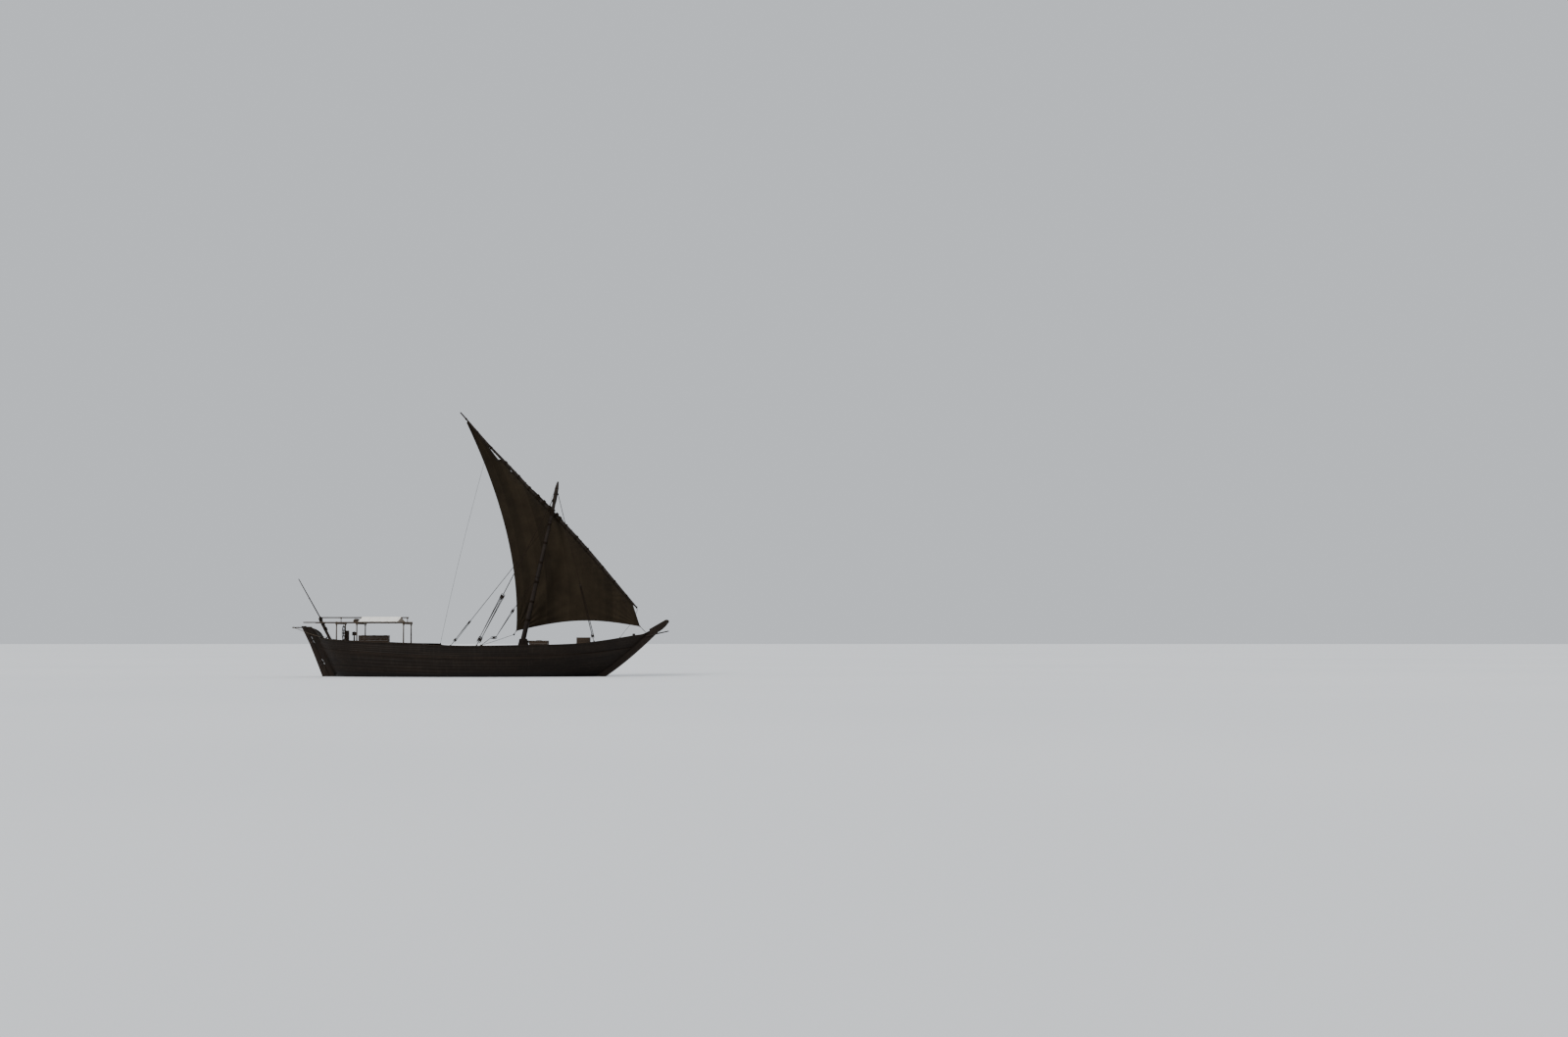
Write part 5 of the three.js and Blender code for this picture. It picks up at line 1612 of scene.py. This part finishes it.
def steering_arm():
    """The tapered bar that turns the rudder, and its two bands of line."""
    place = even(24)
    path = spots(mix(-13.155, -14.12, place), 0, ARM_Z)
    radii = mix(0.0495, 0.04, place)
    radii[-1] = 0.028
    arm = sweep(path, ring(radii, 16, TAU / 32))
    piece("arm_bar", arm, SPAR, "rudder_unit", ["steering_arm"])
    bindings = [coil((x, 0, ARM_Z), (1, 0, 0), 0.052, turns, 0.009)
                for x, turns in ((-13.62, 4), (-14.0, 5))]
    piece("arm_bindings", bindings, LINE, "rudder_unit")


def steering_ropes():
    """On each side a line from the arm to a block at the rail, and on by a lead block to
    the wheel."""
    blocks, strops = [], []
    for name, side in (("port", 1), ("starboard", -1)):
        turn_place = rail_at(-11.5) * (1, -side, 1) + (0, 0, 0.09)
        lead_place = np.array([-9.6, side * 1.2, 2.7])
        for place, drop, axis, radius, turns in ((turn_place, 0.08, (1, 0, 0), 0.05, 4),
                                                 (lead_place, 0.09, (0, 1, 0), 0.04, 3)):
            parts, belts = block(place, (-0.2, side, 0), 0.16)
            blocks += parts
            strops += [*belts, coil(place - (0, 0, drop), axis, radius, turns, 0.012)]
        points = np.array([(-14.0, side * 0.04, ARM_Z), (-13.0, side * 0.7, 3.6), turn_place])
        path = bezier(points, even(40))
        made = piece(f"steering_rope_{name}", rope(path, 0.012), LINE, ride=False)
        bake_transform(made)
        runs = [straight(turn_place, lead_place, 0.012, 20, (0, 0, 1)),
                straight(lead_place, (-9.63, side * 0.2, 3.12), 0.012, 12, (0, 0, 1))]
        piece(f"wheel_rope_{name}", runs, LINE)
    piece("quarter_blocks", blocks, BLOCK)
    piece("quarter_strops", strops, DARK_ROPE)


def wheel_rim():
    """The wheel's rim: a band with cut corners, toned as eight felloes."""
    angle = angles(96)
    radial = spots(0, np.cos(angle), np.sin(angle))
    half_w, half_d, cut = 0.0275, 0.032, 0.008
    quarter = np.array([[half_w, half_d - cut], [half_w - cut, half_d]])
    outline = np.concatenate([-quarter, quarter[::-1] * (1, -1), quarter, quarter[::-1] * (-1, 1)])
    felloes = np.random.default_rng(4).uniform(0.2, 0.9, 8)[(np.arange(96) // 12)]
    return sweep(WHEEL_CENTRE + radial * RIM_RADIUS, outline, up=radial, soft=False, closed=True,
                 shade=felloes[:, None])


def wheel_spokes():
    """Eight turned spokes, which run on beyond the rim as handles."""
    places = [0, 0.08, 0.2, 0.34, 0.46, 0.58, 0.69, 0.75, 0.8, 0.84, 0.93, 1.0]
    radii = [0.02, 0.02, 0.015, 0.024, 0.013, 0.021, 0.017, 0.024, 0.024, 0.013, 0.021, 0.008]
    spokes = []
    for k in range(8):
        way = np.array([0, math.cos(TAU * k / 8), math.sin(TAU * k / 8)])
        spokes.append(turned(WHEEL_CENTRE + way * 0.06, WHEEL_CENTRE + way * SPOKE_REACH,
                             places, radii, 12, 0.4 + 0.05 * k))
    return spokes


def on_axle(near, far, places, radii, sides, shade=0.5):
    """A piece turned on the wheel's axle, between two distances from the wheel's middle."""
    return turned(WHEEL_CENTRE + (near, 0, 0), WHEEL_CENTRE + (far, 0, 0), places, radii, sides,
                  shade)


def ship_wheel():
    """The wheel: rim, spokes, hub and axle, with an iron plate and a nail each side of every
    spoke."""
    hub = on_axle(-0.06, 0.06, [0, 0.12, 0.3, 0.7, 0.88, 1], [0.05, 0.075, 0.09, 0.09, 0.075, 0.05],
                  28, 0.3)
    axle = on_axle(0.05, 0.33, [0, 0.5, 1], [0.0275] * 3, 20)
    piece("wheel_wood", [wheel_rim(), *wheel_spokes(), hub, axle], TRIM, "helm", ["wheel"])
    plates = [on_axle(-0.067, -0.055, [0, 0.3, 1], [0.03, 0.045, 0.045], 20)]
    for k in range(16):
        turn = TAU * (k + 0.5) / 16
        at = WHEEL_CENTRE + (-0.0335, RIM_RADIUS * math.cos(turn), RIM_RADIUS * math.sin(turn))
        plates.append(turned(at, at + (0.006, 0, 0), [0, 0.5, 1], [0.005, 0.009, 0.009], 8))
    piece("wheel_fastenings", plates, IRON, "helm")


rudder_irons()
steering_arm()
steering_ropes()
ship_wheel()


# Boxes and furniture of boards

LID_BATTENS = (-8.35, -7.44, -6.53)
COVER_BATTENS = (-1.05, -0.4, 0.31, 0.96)
# X and Z round a cheek of the mast bitts
BITT_CHEEK = np.array([[4.285, 1.83], [5.195, 1.83], [5.195, 2.3], [5.15, 2.62], [5.08, 2.9],
                       [5.05, 3.04], [4.99, 3.078], [4.53, 3.078], [4.48, 3.03], [4.45, 2.85],
                       [4.37, 2.55], [4.285, 2.25]])
BOW_BITT_X = 13.78
BINNACLE_X = -9.04


def boards_between(low, high, along, across, thick_axis, width, gap=0.004, seed=1, cut=0.005):
    """Boards that fill a slab: they run the full length along one axis, side by side over
    another, and are as thick as the slab."""
    low, high = np.asarray(low, float), np.asarray(high, float)
    count = max(1, round((high[across] - low[across]) / width))
    step = (high[across] - low[across]) / count
    middle = low[across] + (np.arange(count) + 0.5) * step
    starts = np.tile((low + high) / 2, (count, 1))
    starts[:, across] = middle
    ends = starts.copy()
    starts[:, along], ends[:, along] = low[along], high[along]
    up = np.eye(3)[thick_axis]
    rng = np.random.default_rng(seed)
    deep = (high[thick_axis] - low[thick_axis]) * (1 - rng.uniform(0, 0.06, count))
    return timbers(starts, ends, step - gap, deep, up=up, cut=cut, seed=seed)


def box_of(node):
    """The two corners of a CAD node's box."""
    low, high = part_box(node)
    return np.array(low), np.array(high)


def walls(low, high, thick, width, seed, posts=0.0):
    """Four walls of level boards, with squared posts at the corners where posts is set."""
    made = []
    for axis, other in ((0, 1), (1, 0)):
        for end in (0, 1):
            a, b = low.copy(), high.copy()
            if end:
                a[other] = b[other] - thick
            else:
                b[other] = a[other] + thick
            if axis == 1:
                a[1] += thick
                b[1] -= thick
            made.append(boards_between(a, b, axis, 2, other, width, seed=seed + 2 * axis + end))
    if posts:
        inset = posts / 2 - 0.006
        feet = np.array([(x, y, low[2]) for x in (low[0] + inset, high[0] - inset)
                         for y in (low[1] + inset, high[1] - inset)])
        tops = feet + (0, 0, high[2] - low[2])
        made.append(timbers(feet, tops, posts, posts, up=(0, 1, 0), seed=seed + 9))
    return made


def locker():
    """The poop locker with its floor, and its lid with three battens."""
    low, high = box_of("poop_locker")
    floor = boards_between(low + (0.04, 0.04, 0.06), (*(high[:2] - 0.04), low[2] + 0.1), 0, 1, 2, 0.2,
                           seed=27)
    piece("locker_boards", [*walls(low, high, 0.038, 0.17, 20, posts=0.07), floor], BOARD,
          replaced=["poop_locker"])
    low, high = box_of("poop_locker_lid")
    lid = boards_between(low, high - (0, 0, 0.012), 0, 1, 2, 0.21, seed=31)
    battens = [boards_between((x, low[1] + 0.03, high[2] - 0.013), (x + 0.09, high[1] - 0.03, high[2]),
                              1, 0, 2, 0.09, seed=33) for x in LID_BATTENS]
    piece("locker_lid_boards", [lid, *battens], BOARD, "lid", ["poop_locker_lid"])


def tank_bands(low, high, z):
    """Flat iron bands round a box at a height above its foot."""
    (x0, y0), (x1, y1) = low[:2] - 0.004, high[:2] + 0.004
    runs = [((x0, y0), (x1, y0), (0, 1, 0)), ((x0, y1), (x1, y1), (0, 1, 0)),
            ((x0, y0), (x0, y1), (1, 0, 0)), ((x1, y0), (x1, y1), (1, 0, 0))]
    return [timbers([(*a, low[2] + z)], [(*b, low[2] + z)], 0.045, 0.01, up=way, cut=0.002)
            for a, b, way in runs]


def water_tank():
    """The water tank: boarded sides and top, a small hatch on it, and two iron bands."""
    low, high = box_of("water_tank")
    sides = walls(low, high - (0, 0, 0.05), 0.05, 0.19, 40, posts=0.09)
    top = boards_between((low[0], low[1], high[2] - 0.05), high, 0, 1, 2, 0.2, seed=44)
    hatch_lid = boards_between((5.85, -0.22, high[2]), (6.25, 0.22, high[2] + 0.03), 0, 1, 2, 0.15,
                               seed=47)
    piece("tank_boards", [*sides, top, hatch_lid], BOARD, replaced=["water_tank"])
    bands = [*tank_bands(low, high, 0.2), *tank_bands(low, high, 0.62)]
    piece("tank_straps", bands, IRON)


def fire_box():
    """The fire box: boards, a clay lining, and a heap of ash. The heap is the product of a
    sine along it and a sine across it, with small waves on top."""
    low, high = box_of("fire_box")
    piece("fire_box_boards", walls(low, high, 0.035, 0.2, 50, posts=0.07), BOARD,
          replaced=["fire_box"])
    low, high = low + (0.034, 0.034, 0.05), high - (0.034, 0.034, 0.03)
    piece("fire_box_lining", walls(low, high, 0.03, 1.2, 55), CLAY)
    x, y = (np.linspace(low[axis] + 0.03, high[axis] - 0.03, 26) for axis in (0, 1))
    gx, gy = np.meshgrid(x, y, indexing="ij")
    swell = hump(even(26))
    heap = 2.42 + 0.07 * np.outer(swell, swell)
    heap += 0.012 * np.sin(gx * 47 + gy * 13) * np.cos(gy * 39)
    piece("ash_bed", shell(spots(gx, gy, heap), 0.03), ASH)


def hatch():
    """The hatch's coaming, and its cover with battens and four iron rings."""
    low, high = box_of("hatch_coaming")
    piece("coaming_boards", walls(low, high, 0.088, 0.24, 60), TRIM, replaced=["hatch_coaming"])
    low, high = box_of("hatch_cover")
    cover = boards_between(low, high - (0, 0, 0.014), 1, 0, 2, 0.3, seed=63)
    battens = [boards_between((low[0] + 0.05, y, high[2] - 0.015), (high[0] - 0.05, y + 0.09, high[2]),
                              0, 1, 2, 0.09, seed=65 + k) for k, y in enumerate(COVER_BATTENS)]
    piece("hatch_boards", [cover, *battens], BOARD, replaced=["hatch_cover"])
    rings = [coil((x, y, high[2] + 0.012), (0.2, 0, 1), 0.055, 1, 0.011)
             for x in (-0.6, 2.2) for y in (-0.75, 0.75)]
    piece("hatch_rings", rings, IRON)


def bulkhead():
    """The poop's bulkhead: upright boards under a rail."""
    low, high = box_of("poop_bulkhead")
    boards = boards_between(low + (0.012, 0, 0), high - (0, 0, 0.045), 2, 1, 0, 0.21, seed=70)
    rail = boards_between((low[0], low[1], high[2] - 0.05), high, 1, 2, 0, 0.06, seed=72)
    piece("bulkhead_boards", [boards, rail], TRIM, replaced=["poop_bulkhead"])


def mast_bitts():
    """Two shaped cheeks beside the mast, a beam across them, and four pins."""
    bitts = [cut_plate(BITT_CHEEK, y - 0.064, y + 0.064, 0.015) for y in (-0.315, 0.315)]
    beam = timbers([(5.135, -0.36, 2.83)], [(5.135, 0.36, 2.83)], 0.13, 0.2, cut=0.02, seed=77)
    pins = [turned((x, side * 0.2, 2.9), (x, side * 0.56, 2.9), [0, 0.3, 0.7, 0.9, 1],
                   [0.024, 0.024, 0.02, 0.034, 0.012], 14)
            for x in (4.5, 4.8) for side in (-1, 1)]
    piece("bitts_timbers", [*bitts, beam, *pins], TRIM, replaced=["mast_bitts"])


def bow_bitt():
    """The bow bitt: a squared post with a bar through it, and four turns of rope."""
    low, high = box_of("bow_bitt")
    post = timbers([(BOW_BITT_X, 0, low[2])], [(BOW_BITT_X, 0, high[2])], 0.22, 0.22, up=(0, 1, 0),
                   cut=0.03, seed=79)
    bar = turned((BOW_BITT_X, -0.3, 3.3), (BOW_BITT_X, 0.3, 3.3), [0, 0.1, 0.5, 0.9, 1],
                 [0.02, 0.032, 0.036, 0.032, 0.02], 18)
    piece("bow_bitt_timber", [post, bar], TRIM, replaced=["bow_bitt"])
    turns = coil((BOW_BITT_X, 0, 3.16), (0, 0, 1), 0.165, 4, 0.018)
    piece("bow_bitt_turns", turns, ROPE)


def foredeck_break():
    """The step up to the foredeck: upright boards under a beam."""
    foot, head = deck_top(np.array([12.1, 12.3]))
    face = boards_between((12.11, -1.1, foot), (12.148, 1.1, head - 0.06), 2, 1, 0, 0.19, seed=97)
    beam = boards_between((12.09, -1.22, head - 0.075), (12.147, 1.22, head + 0.012), 1, 2, 0, 0.1,
                          seed=98)
    piece("foredeck_break", [face, beam], TRIM)


def wheel_stand():
    """The wheel's stand: two side timbers, boarded ends, a top, and an iron bearing."""
    low, high = box_of("wheel_stand")
    x, head = (low[0] + high[0]) / 2, high[2] - 0.05
    sides = [timbers([(x, y, low[2])], [(x, y, head)], high[0] - low[0], 0.05, up=(0, 1, 0),
                     cut=0.01, seed=81) for y in (-0.19, 0.19)]
    ends = [boards_between((x, -0.17, low[2]), (x + 0.035, 0.17, head), 2, 1, 0, 0.17, seed=84)
            for x in (low[0], high[0] - 0.035)]
    top = timbers([(low[0], 0, high[2] - 0.026)], [(high[0], 0, high[2] - 0.026)], 0.44, 0.05,
                  cut=0.012, seed=86)
    piece("stand_timbers", [*sides, *ends, top], TRIM, replaced=["wheel_stand"])
    bearing = on_axle(0.108, 0.15, [0, 0.4, 1], [0.05, 0.06, 0.06], 24)
    piece("stand_bearing", bearing, IRON)


def binnacle():
    """The binnacle: a turned post, a small boarded case, and a roof of four rings of a square."""
    low = box_of("binnacle")[0]
    post = turned((BINNACLE_X, 0, low[2]), (BINNACLE_X, 0, 3.36), [0, 0.08, 0.14, 0.3, 0.6, 0.9, 1],
                  [0.1, 0.1, 0.07, 0.055, 0.062, 0.05, 0.07], 24)
    case = walls(np.array([-9.18, -0.14, 3.34]), np.array([-8.9, 0.14, 3.58]), 0.02, 0.26, 90,
                 posts=0.035)
    floor = boards_between((-9.19, -0.15, 3.33), (-8.89, 0.15, 3.352), 0, 1, 2, 0.3, seed=95)
    square = np.array([[1, 1], [-1, 1], [-1, -1], [1, -1]])
    rings = [np.column_stack([square * half + (BINNACLE_X, 0), np.full(4, 3.58 + rise)])
             for half, rise in ((0.15, 0.0), (0.15, 0.02), (0.05, 0.06), (0.02, 0.079))]
    roof = surface(np.array(rings), wrap=True, caps=True, soft=False).outward()
    piece("binnacle_wood", [post, *case, floor, roof], TRIM, replaced=["binnacle"])


for build in (locker, water_tank, fire_box, hatch, bulkhead, mast_bitts, bow_bitt, foredeck_break,
              wheel_stand, binnacle):
    build()


# Awning and its frame

POLE_Y = 1.8
POLE_Z = 4.38
RIDGE_Z = 4.79
POLE_R = 0.05
BEAM_Z = POLE_Z - 0.1003
FRAME_X = (-10.12, -8.48, -4.7)
# Both ends in X, Y and Z
LONG_POLES = {"side_pole_port": (-12.6, -4.6, POLE_Y, POLE_Z),
              "side_pole_starboard": (-12.82, -3.98, -POLE_Y, POLE_Z),
              "ridge_pole": (-11.7, -4.6, 0, RIDGE_Z)}
AWNING_ENDS = (-8.4, -5.2)
AWNING_HALF = 1.88
TIE_STEP = 0.575
BUNDLE_X = -8.85
BUNDLE_HALF = 0.9
# Where the bundle is tied, as shares of its half length
BUNDLE_TIES = (-0.7, -0.25, 0.25, 0.7)


def pole_radii(places, seed, scale):
    """The radii of a rough pole, which a slow wave makes up to a few millimetres thinner."""
    return POLE_R - 0.001 - 0.004 * np.abs(wander(places, seed, scale))


def long_poles():
    """The ridge pole and the two side poles."""
    for seed, (name, (x0, x1, y, z)) in enumerate(LONG_POLES.items(), 61):
        x = np.linspace(x0 + 0.002, x1 - 0.002, 60)
        path = spots(x, y, z)
        pole = spar(path, pole_radii(x, seed, 0.7), 16, seed)
        piece(f"{name}_wood", pole, POLE, replaced=[name])


def awning_frame():
    """Posts, crossbeams with a strut up to the ridge pole, and the lashings where they meet."""
    posts, beams, ties = [], [], []
    for k, x in enumerate(FRAME_X):
        y = np.linspace(-1.96, 1.96, 40)
        path = spots(x, y, BEAM_Z)
        beams.append(spar(path, pole_radii(y, 70 + k, 0.6), 16, k))
        beams.append(turned((x, 0, BEAM_Z), (x, 0, RIDGE_Z - 0.051), [0, 0.5, 1],
                            [0.035, 0.032, 0.035], 14))
        foot = float(deck_top(np.array([x]))[0])
        for y in (-POLE_Y, POLE_Y):
            posts.append(turned((x, y, foot), (x, y, POLE_Z - 0.151), [0, 0.3, 0.7, 1],
                                [0.06, 0.055, 0.05, 0.045], 18, 0.3 + 0.2 * k))
            ties += [coil((x, y, BEAM_Z + 0.05), (1, way, 0), 0.115, 3, 0.011) for way in (0.9, -0.9)]
            ties.append(coil((x, y, POLE_Z - 0.21), (0, 0, 1), 0.058, 5, 0.009))
        ties.append(coil((x, 0, RIDGE_Z - 0.04), (1, 0.7, 0), 0.075, 4, 0.009))
    nodes = [f"awning_post_{side}_{k}" for k in (1, 2, 3) for side in ("port", "starboard")]
    piece("awning_posts", posts, POLE, replaced=nodes)
    piece("awning_beams", beams, POLE, replaced=[f"awning_beam_{k}" for k in (1, 2, 3)])
    piece("awning_lashings", ties, LINE)


def awning_cloth():
    """The awning: one sheet over the ridge pole. From ridge to side it hangs in a shallow
    curve, and along the boat it sinks between the poles and crimps at its ties."""
    x = np.linspace(*AWNING_ENDS, 90)
    gx, ga = np.meshgrid(x, np.linspace(-1, 1, 91), indexing="ij")
    away, along = np.abs(ga), gx - x[0]
    arch = hump(away)
    ridge, edge = RIDGE_Z + POLE_R + 0.008, POLE_Z + POLE_R + 0.012
    z = mix(ridge, edge, away) - 0.035 * arch
    z = z - 0.015 * hump(along / (x[-1] - x[0])) * arch
    z = z + 0.006 * np.sin(gx * 9.3 + ga * 3) * arch**2
    crimp = np.cos(along / TIE_STEP * TAU) - 1
    z = z + 0.006 * crimp * np.clip((away - 0.93) / 0.07, 0, 1)
    points = spots(gx, ga * AWNING_HALF, z)
    width = distances(points[45])
    uv = spots(along, width)
    cloth = piece("awning_cloth", shell(points, 0.005, uv), AWNING, replaced=["awning"])
    hem = edging("awning_hem", points, 0.009, LINE, "boat")
    ties = [coil((x, y, POLE_Z), (1, 0, 0), POLE_R + 0.012, 2, 0.006, steps=24)
            for x in np.arange(AWNING_ENDS[0] + 0.1, AWNING_ENDS[1], TIE_STEP)
            for y in (-POLE_Y, POLE_Y)]
    piece("awning_ties", ties, LINE)


def awning_bundle():
    """The aft part of the awning, rolled up across the boat and tied under the ridge pole: a
    round bundle whose radius dips at its ties and whose skin has lengthwise folds."""
    count, sides = 120, 48
    s = np.linspace(-1, 1, count)
    places, radii = [-1, -0.94, -0.55, 0, 0.55, 0.94, 1], [0.05, 0.11, 0.19, 0.225, 0.19, 0.11, 0.05]
    radius = smooth(places, radii, s)
    dips = sum(np.exp(-(((s - at) / 0.045) ** 2)) for at in BUNDLE_TIES)
    radius = radius * (1 - 0.26 * dips)
    angle = angles(sides)
    folds = 1 + 0.07 * np.sin(7 * angle + 2.2 * s[:, None]) * (1 - 0.5 * dips[:, None])
    folds += 0.035 * np.sin(15 * angle - 3 * s[:, None] + 1.3)
    low = RIDGE_Z - POLE_R - 0.235
    out = radius[:, None] * folds * 0.97
    height = low + 0.01 + np.minimum(np.sin(angle) * out, 0.208) - 0.03 * (1 - s**2)[:, None]
    points = spots(BUNDLE_X + np.cos(angle) * out, s[:, None] * BUNDLE_HALF, height)
    # The roll's dark finish is painted shade on the awning's own canvas
    roll = piece("awning_bundle", surface(points, wrap=True, caps=True).outward(), FURLED_IN_PAINTED_SHADE,
                 replaced=["awning_roll"])
    ties = []
    for at in BUNDLE_TIES:
        index = int(round((at + 1) / 2 * (count - 1)))
        ties.append(coil((BUNDLE_X, at * BUNDLE_HALF, low - 0.01), (0, 1, 0),
                         float(radius[index]) * 1.02 + 0.01, 2, 0.008, steps=24))
    piece("bundle_ties", ties, LINE)


long_poles()
awning_frame()
awning_cloth()
awning_bundle()


# Loose spars at the ends


def bumkin():
    """The spar under the stemhead, cut off where the hull's side starts, and its lashing."""
    low, high = box_of("bumkin")
    y = float((low[1] + high[1]) / 2) - 0.0125
    share = even(30)
    x, z = mix(14.7, 16.65, share), mix(3.26, 3.69, share)
    keep = x > low[0] + 0.01
    path = spots(x, y, z)[keep]
    radii = mix(0.057, 0.045, share)[keep]
    radii[-1] = 0.034
    piece("bumkin_spar", spar(path, radii, 18, 2, 0.01), SPAR, replaced=["bumkin"])
    band = coil((15.2, y + 0.05, 3.388), (0.97, 0, 0.22), 0.072, 4, 0.01)
    piece("bumkin_lashing", band, DARK_LINE)


POST_FOOT, POST_TOP = np.array([-10.79, 0, 2.62]), np.array([-11.9, 0, 4.78])
POLE_HEEL, POLE_TIP = np.array([-11.24, 0, 3.75]), np.array([-13.64, 0, 7.96])


def tapered(start, end, low, high, last, *settings):
    """A spar from start to end with its last two radii given, so that its end is rounded."""
    share = even(40)
    radii = mix(low, high, share)
    radii[-2:] = last
    return spar(mix(start, end, share[:, None]), radii, *settings, up=(0, 1, 0))


def ensign_staff():
    """The ensign staff: a thick post, and a thin pole lashed to it with a knob at its tip."""
    post = tapered(POST_FOOT, POST_TOP, 0.121, 0.109, (0.105, 0.06), 22, 12, 0.012)
    pole = tapered(POLE_HEEL, POLE_TIP, 0.055, 0.035, (0.034, 0.02), 20, 6, 0.01)
    knob = turned(mix(POLE_HEEL, POLE_TIP, 0.985), mix(POLE_HEEL, POLE_TIP, 0.9995),
                  [0, 0.2, 0.5, 0.8, 1], [0.029, 0.034, 0.0355, 0.03, 0.01], 18)
    piece("staff_spar", [post, pole, knob], SPAR, replaced=["ensign_staff"])
    axis = unit(POST_TOP - POST_FOOT)
    ties = [coil(POST_FOOT + axis * at + (0.03, 0, 0.015), axis, 0.148, 6, 0.011)
            for at in (1.4, 1.8, 2.2)]
    ties.append(coil(mix(POLE_HEEL, POLE_TIP, 0.62), unit(POLE_TIP - POLE_HEEL), 0.055, 4, 0.009))
    ties.append(coil((-11.76, 0, RIDGE_Z), (0.5, 0, 0.86), 0.13, 4, 0.009))
    piece("staff_bands", ties, DARK_LINE)


bumkin()
ensign_staff()


# Finishes of the nodes that stay

for node, finish in (("keel", KEEL_MAT), ("sternpost", POST_MAT), ("rudder", RUDDER_MAT),
                     ("main_deck", DECK_MAT), ("poop_deck", DECK_MAT), ("foredeck", DECK_MAT)):
    NODES[node].data.materials.clear()
    NODES[node].data.materials.append(finish)


# Studio


def studio():
    """A pale floor at the waterline, a soft sky and two broad lights."""
    radius, sides = 3000.0, 64
    rim = np.column_stack([ring(radius, sides), np.zeros(sides)])
    mesh = bpy.data.meshes.new("floor")
    mesh.from_pydata(rim.tolist(), [], [list(range(sides))])
    mesh.materials.append(studio_floor("studio floor"))
    floor = put("floor", mesh)
    world = bpy.data.worlds.new("studio")
    bpy.context.scene.world = world
    world.use_nodes = True
    background = world.node_tree.nodes["Background"]
    background.inputs["Color"].default_value = (0.86, 0.9, 0.95, 1.0)
    background.inputs["Strength"].default_value = 0.75
    for name, turn, strength, spread in (("key", (52, 0, -38), 2.2, 18),
                                         ("fill", (62, 0, 130), 0.8, 40)):
        data = bpy.data.lights.new(name, "SUN")
        data.energy = strength
        data.angle = math.radians(spread)
        put(name, data).rotation_euler = tuple(math.radians(value) for value in turn)


studio()
bpy.context.view_layer.update()
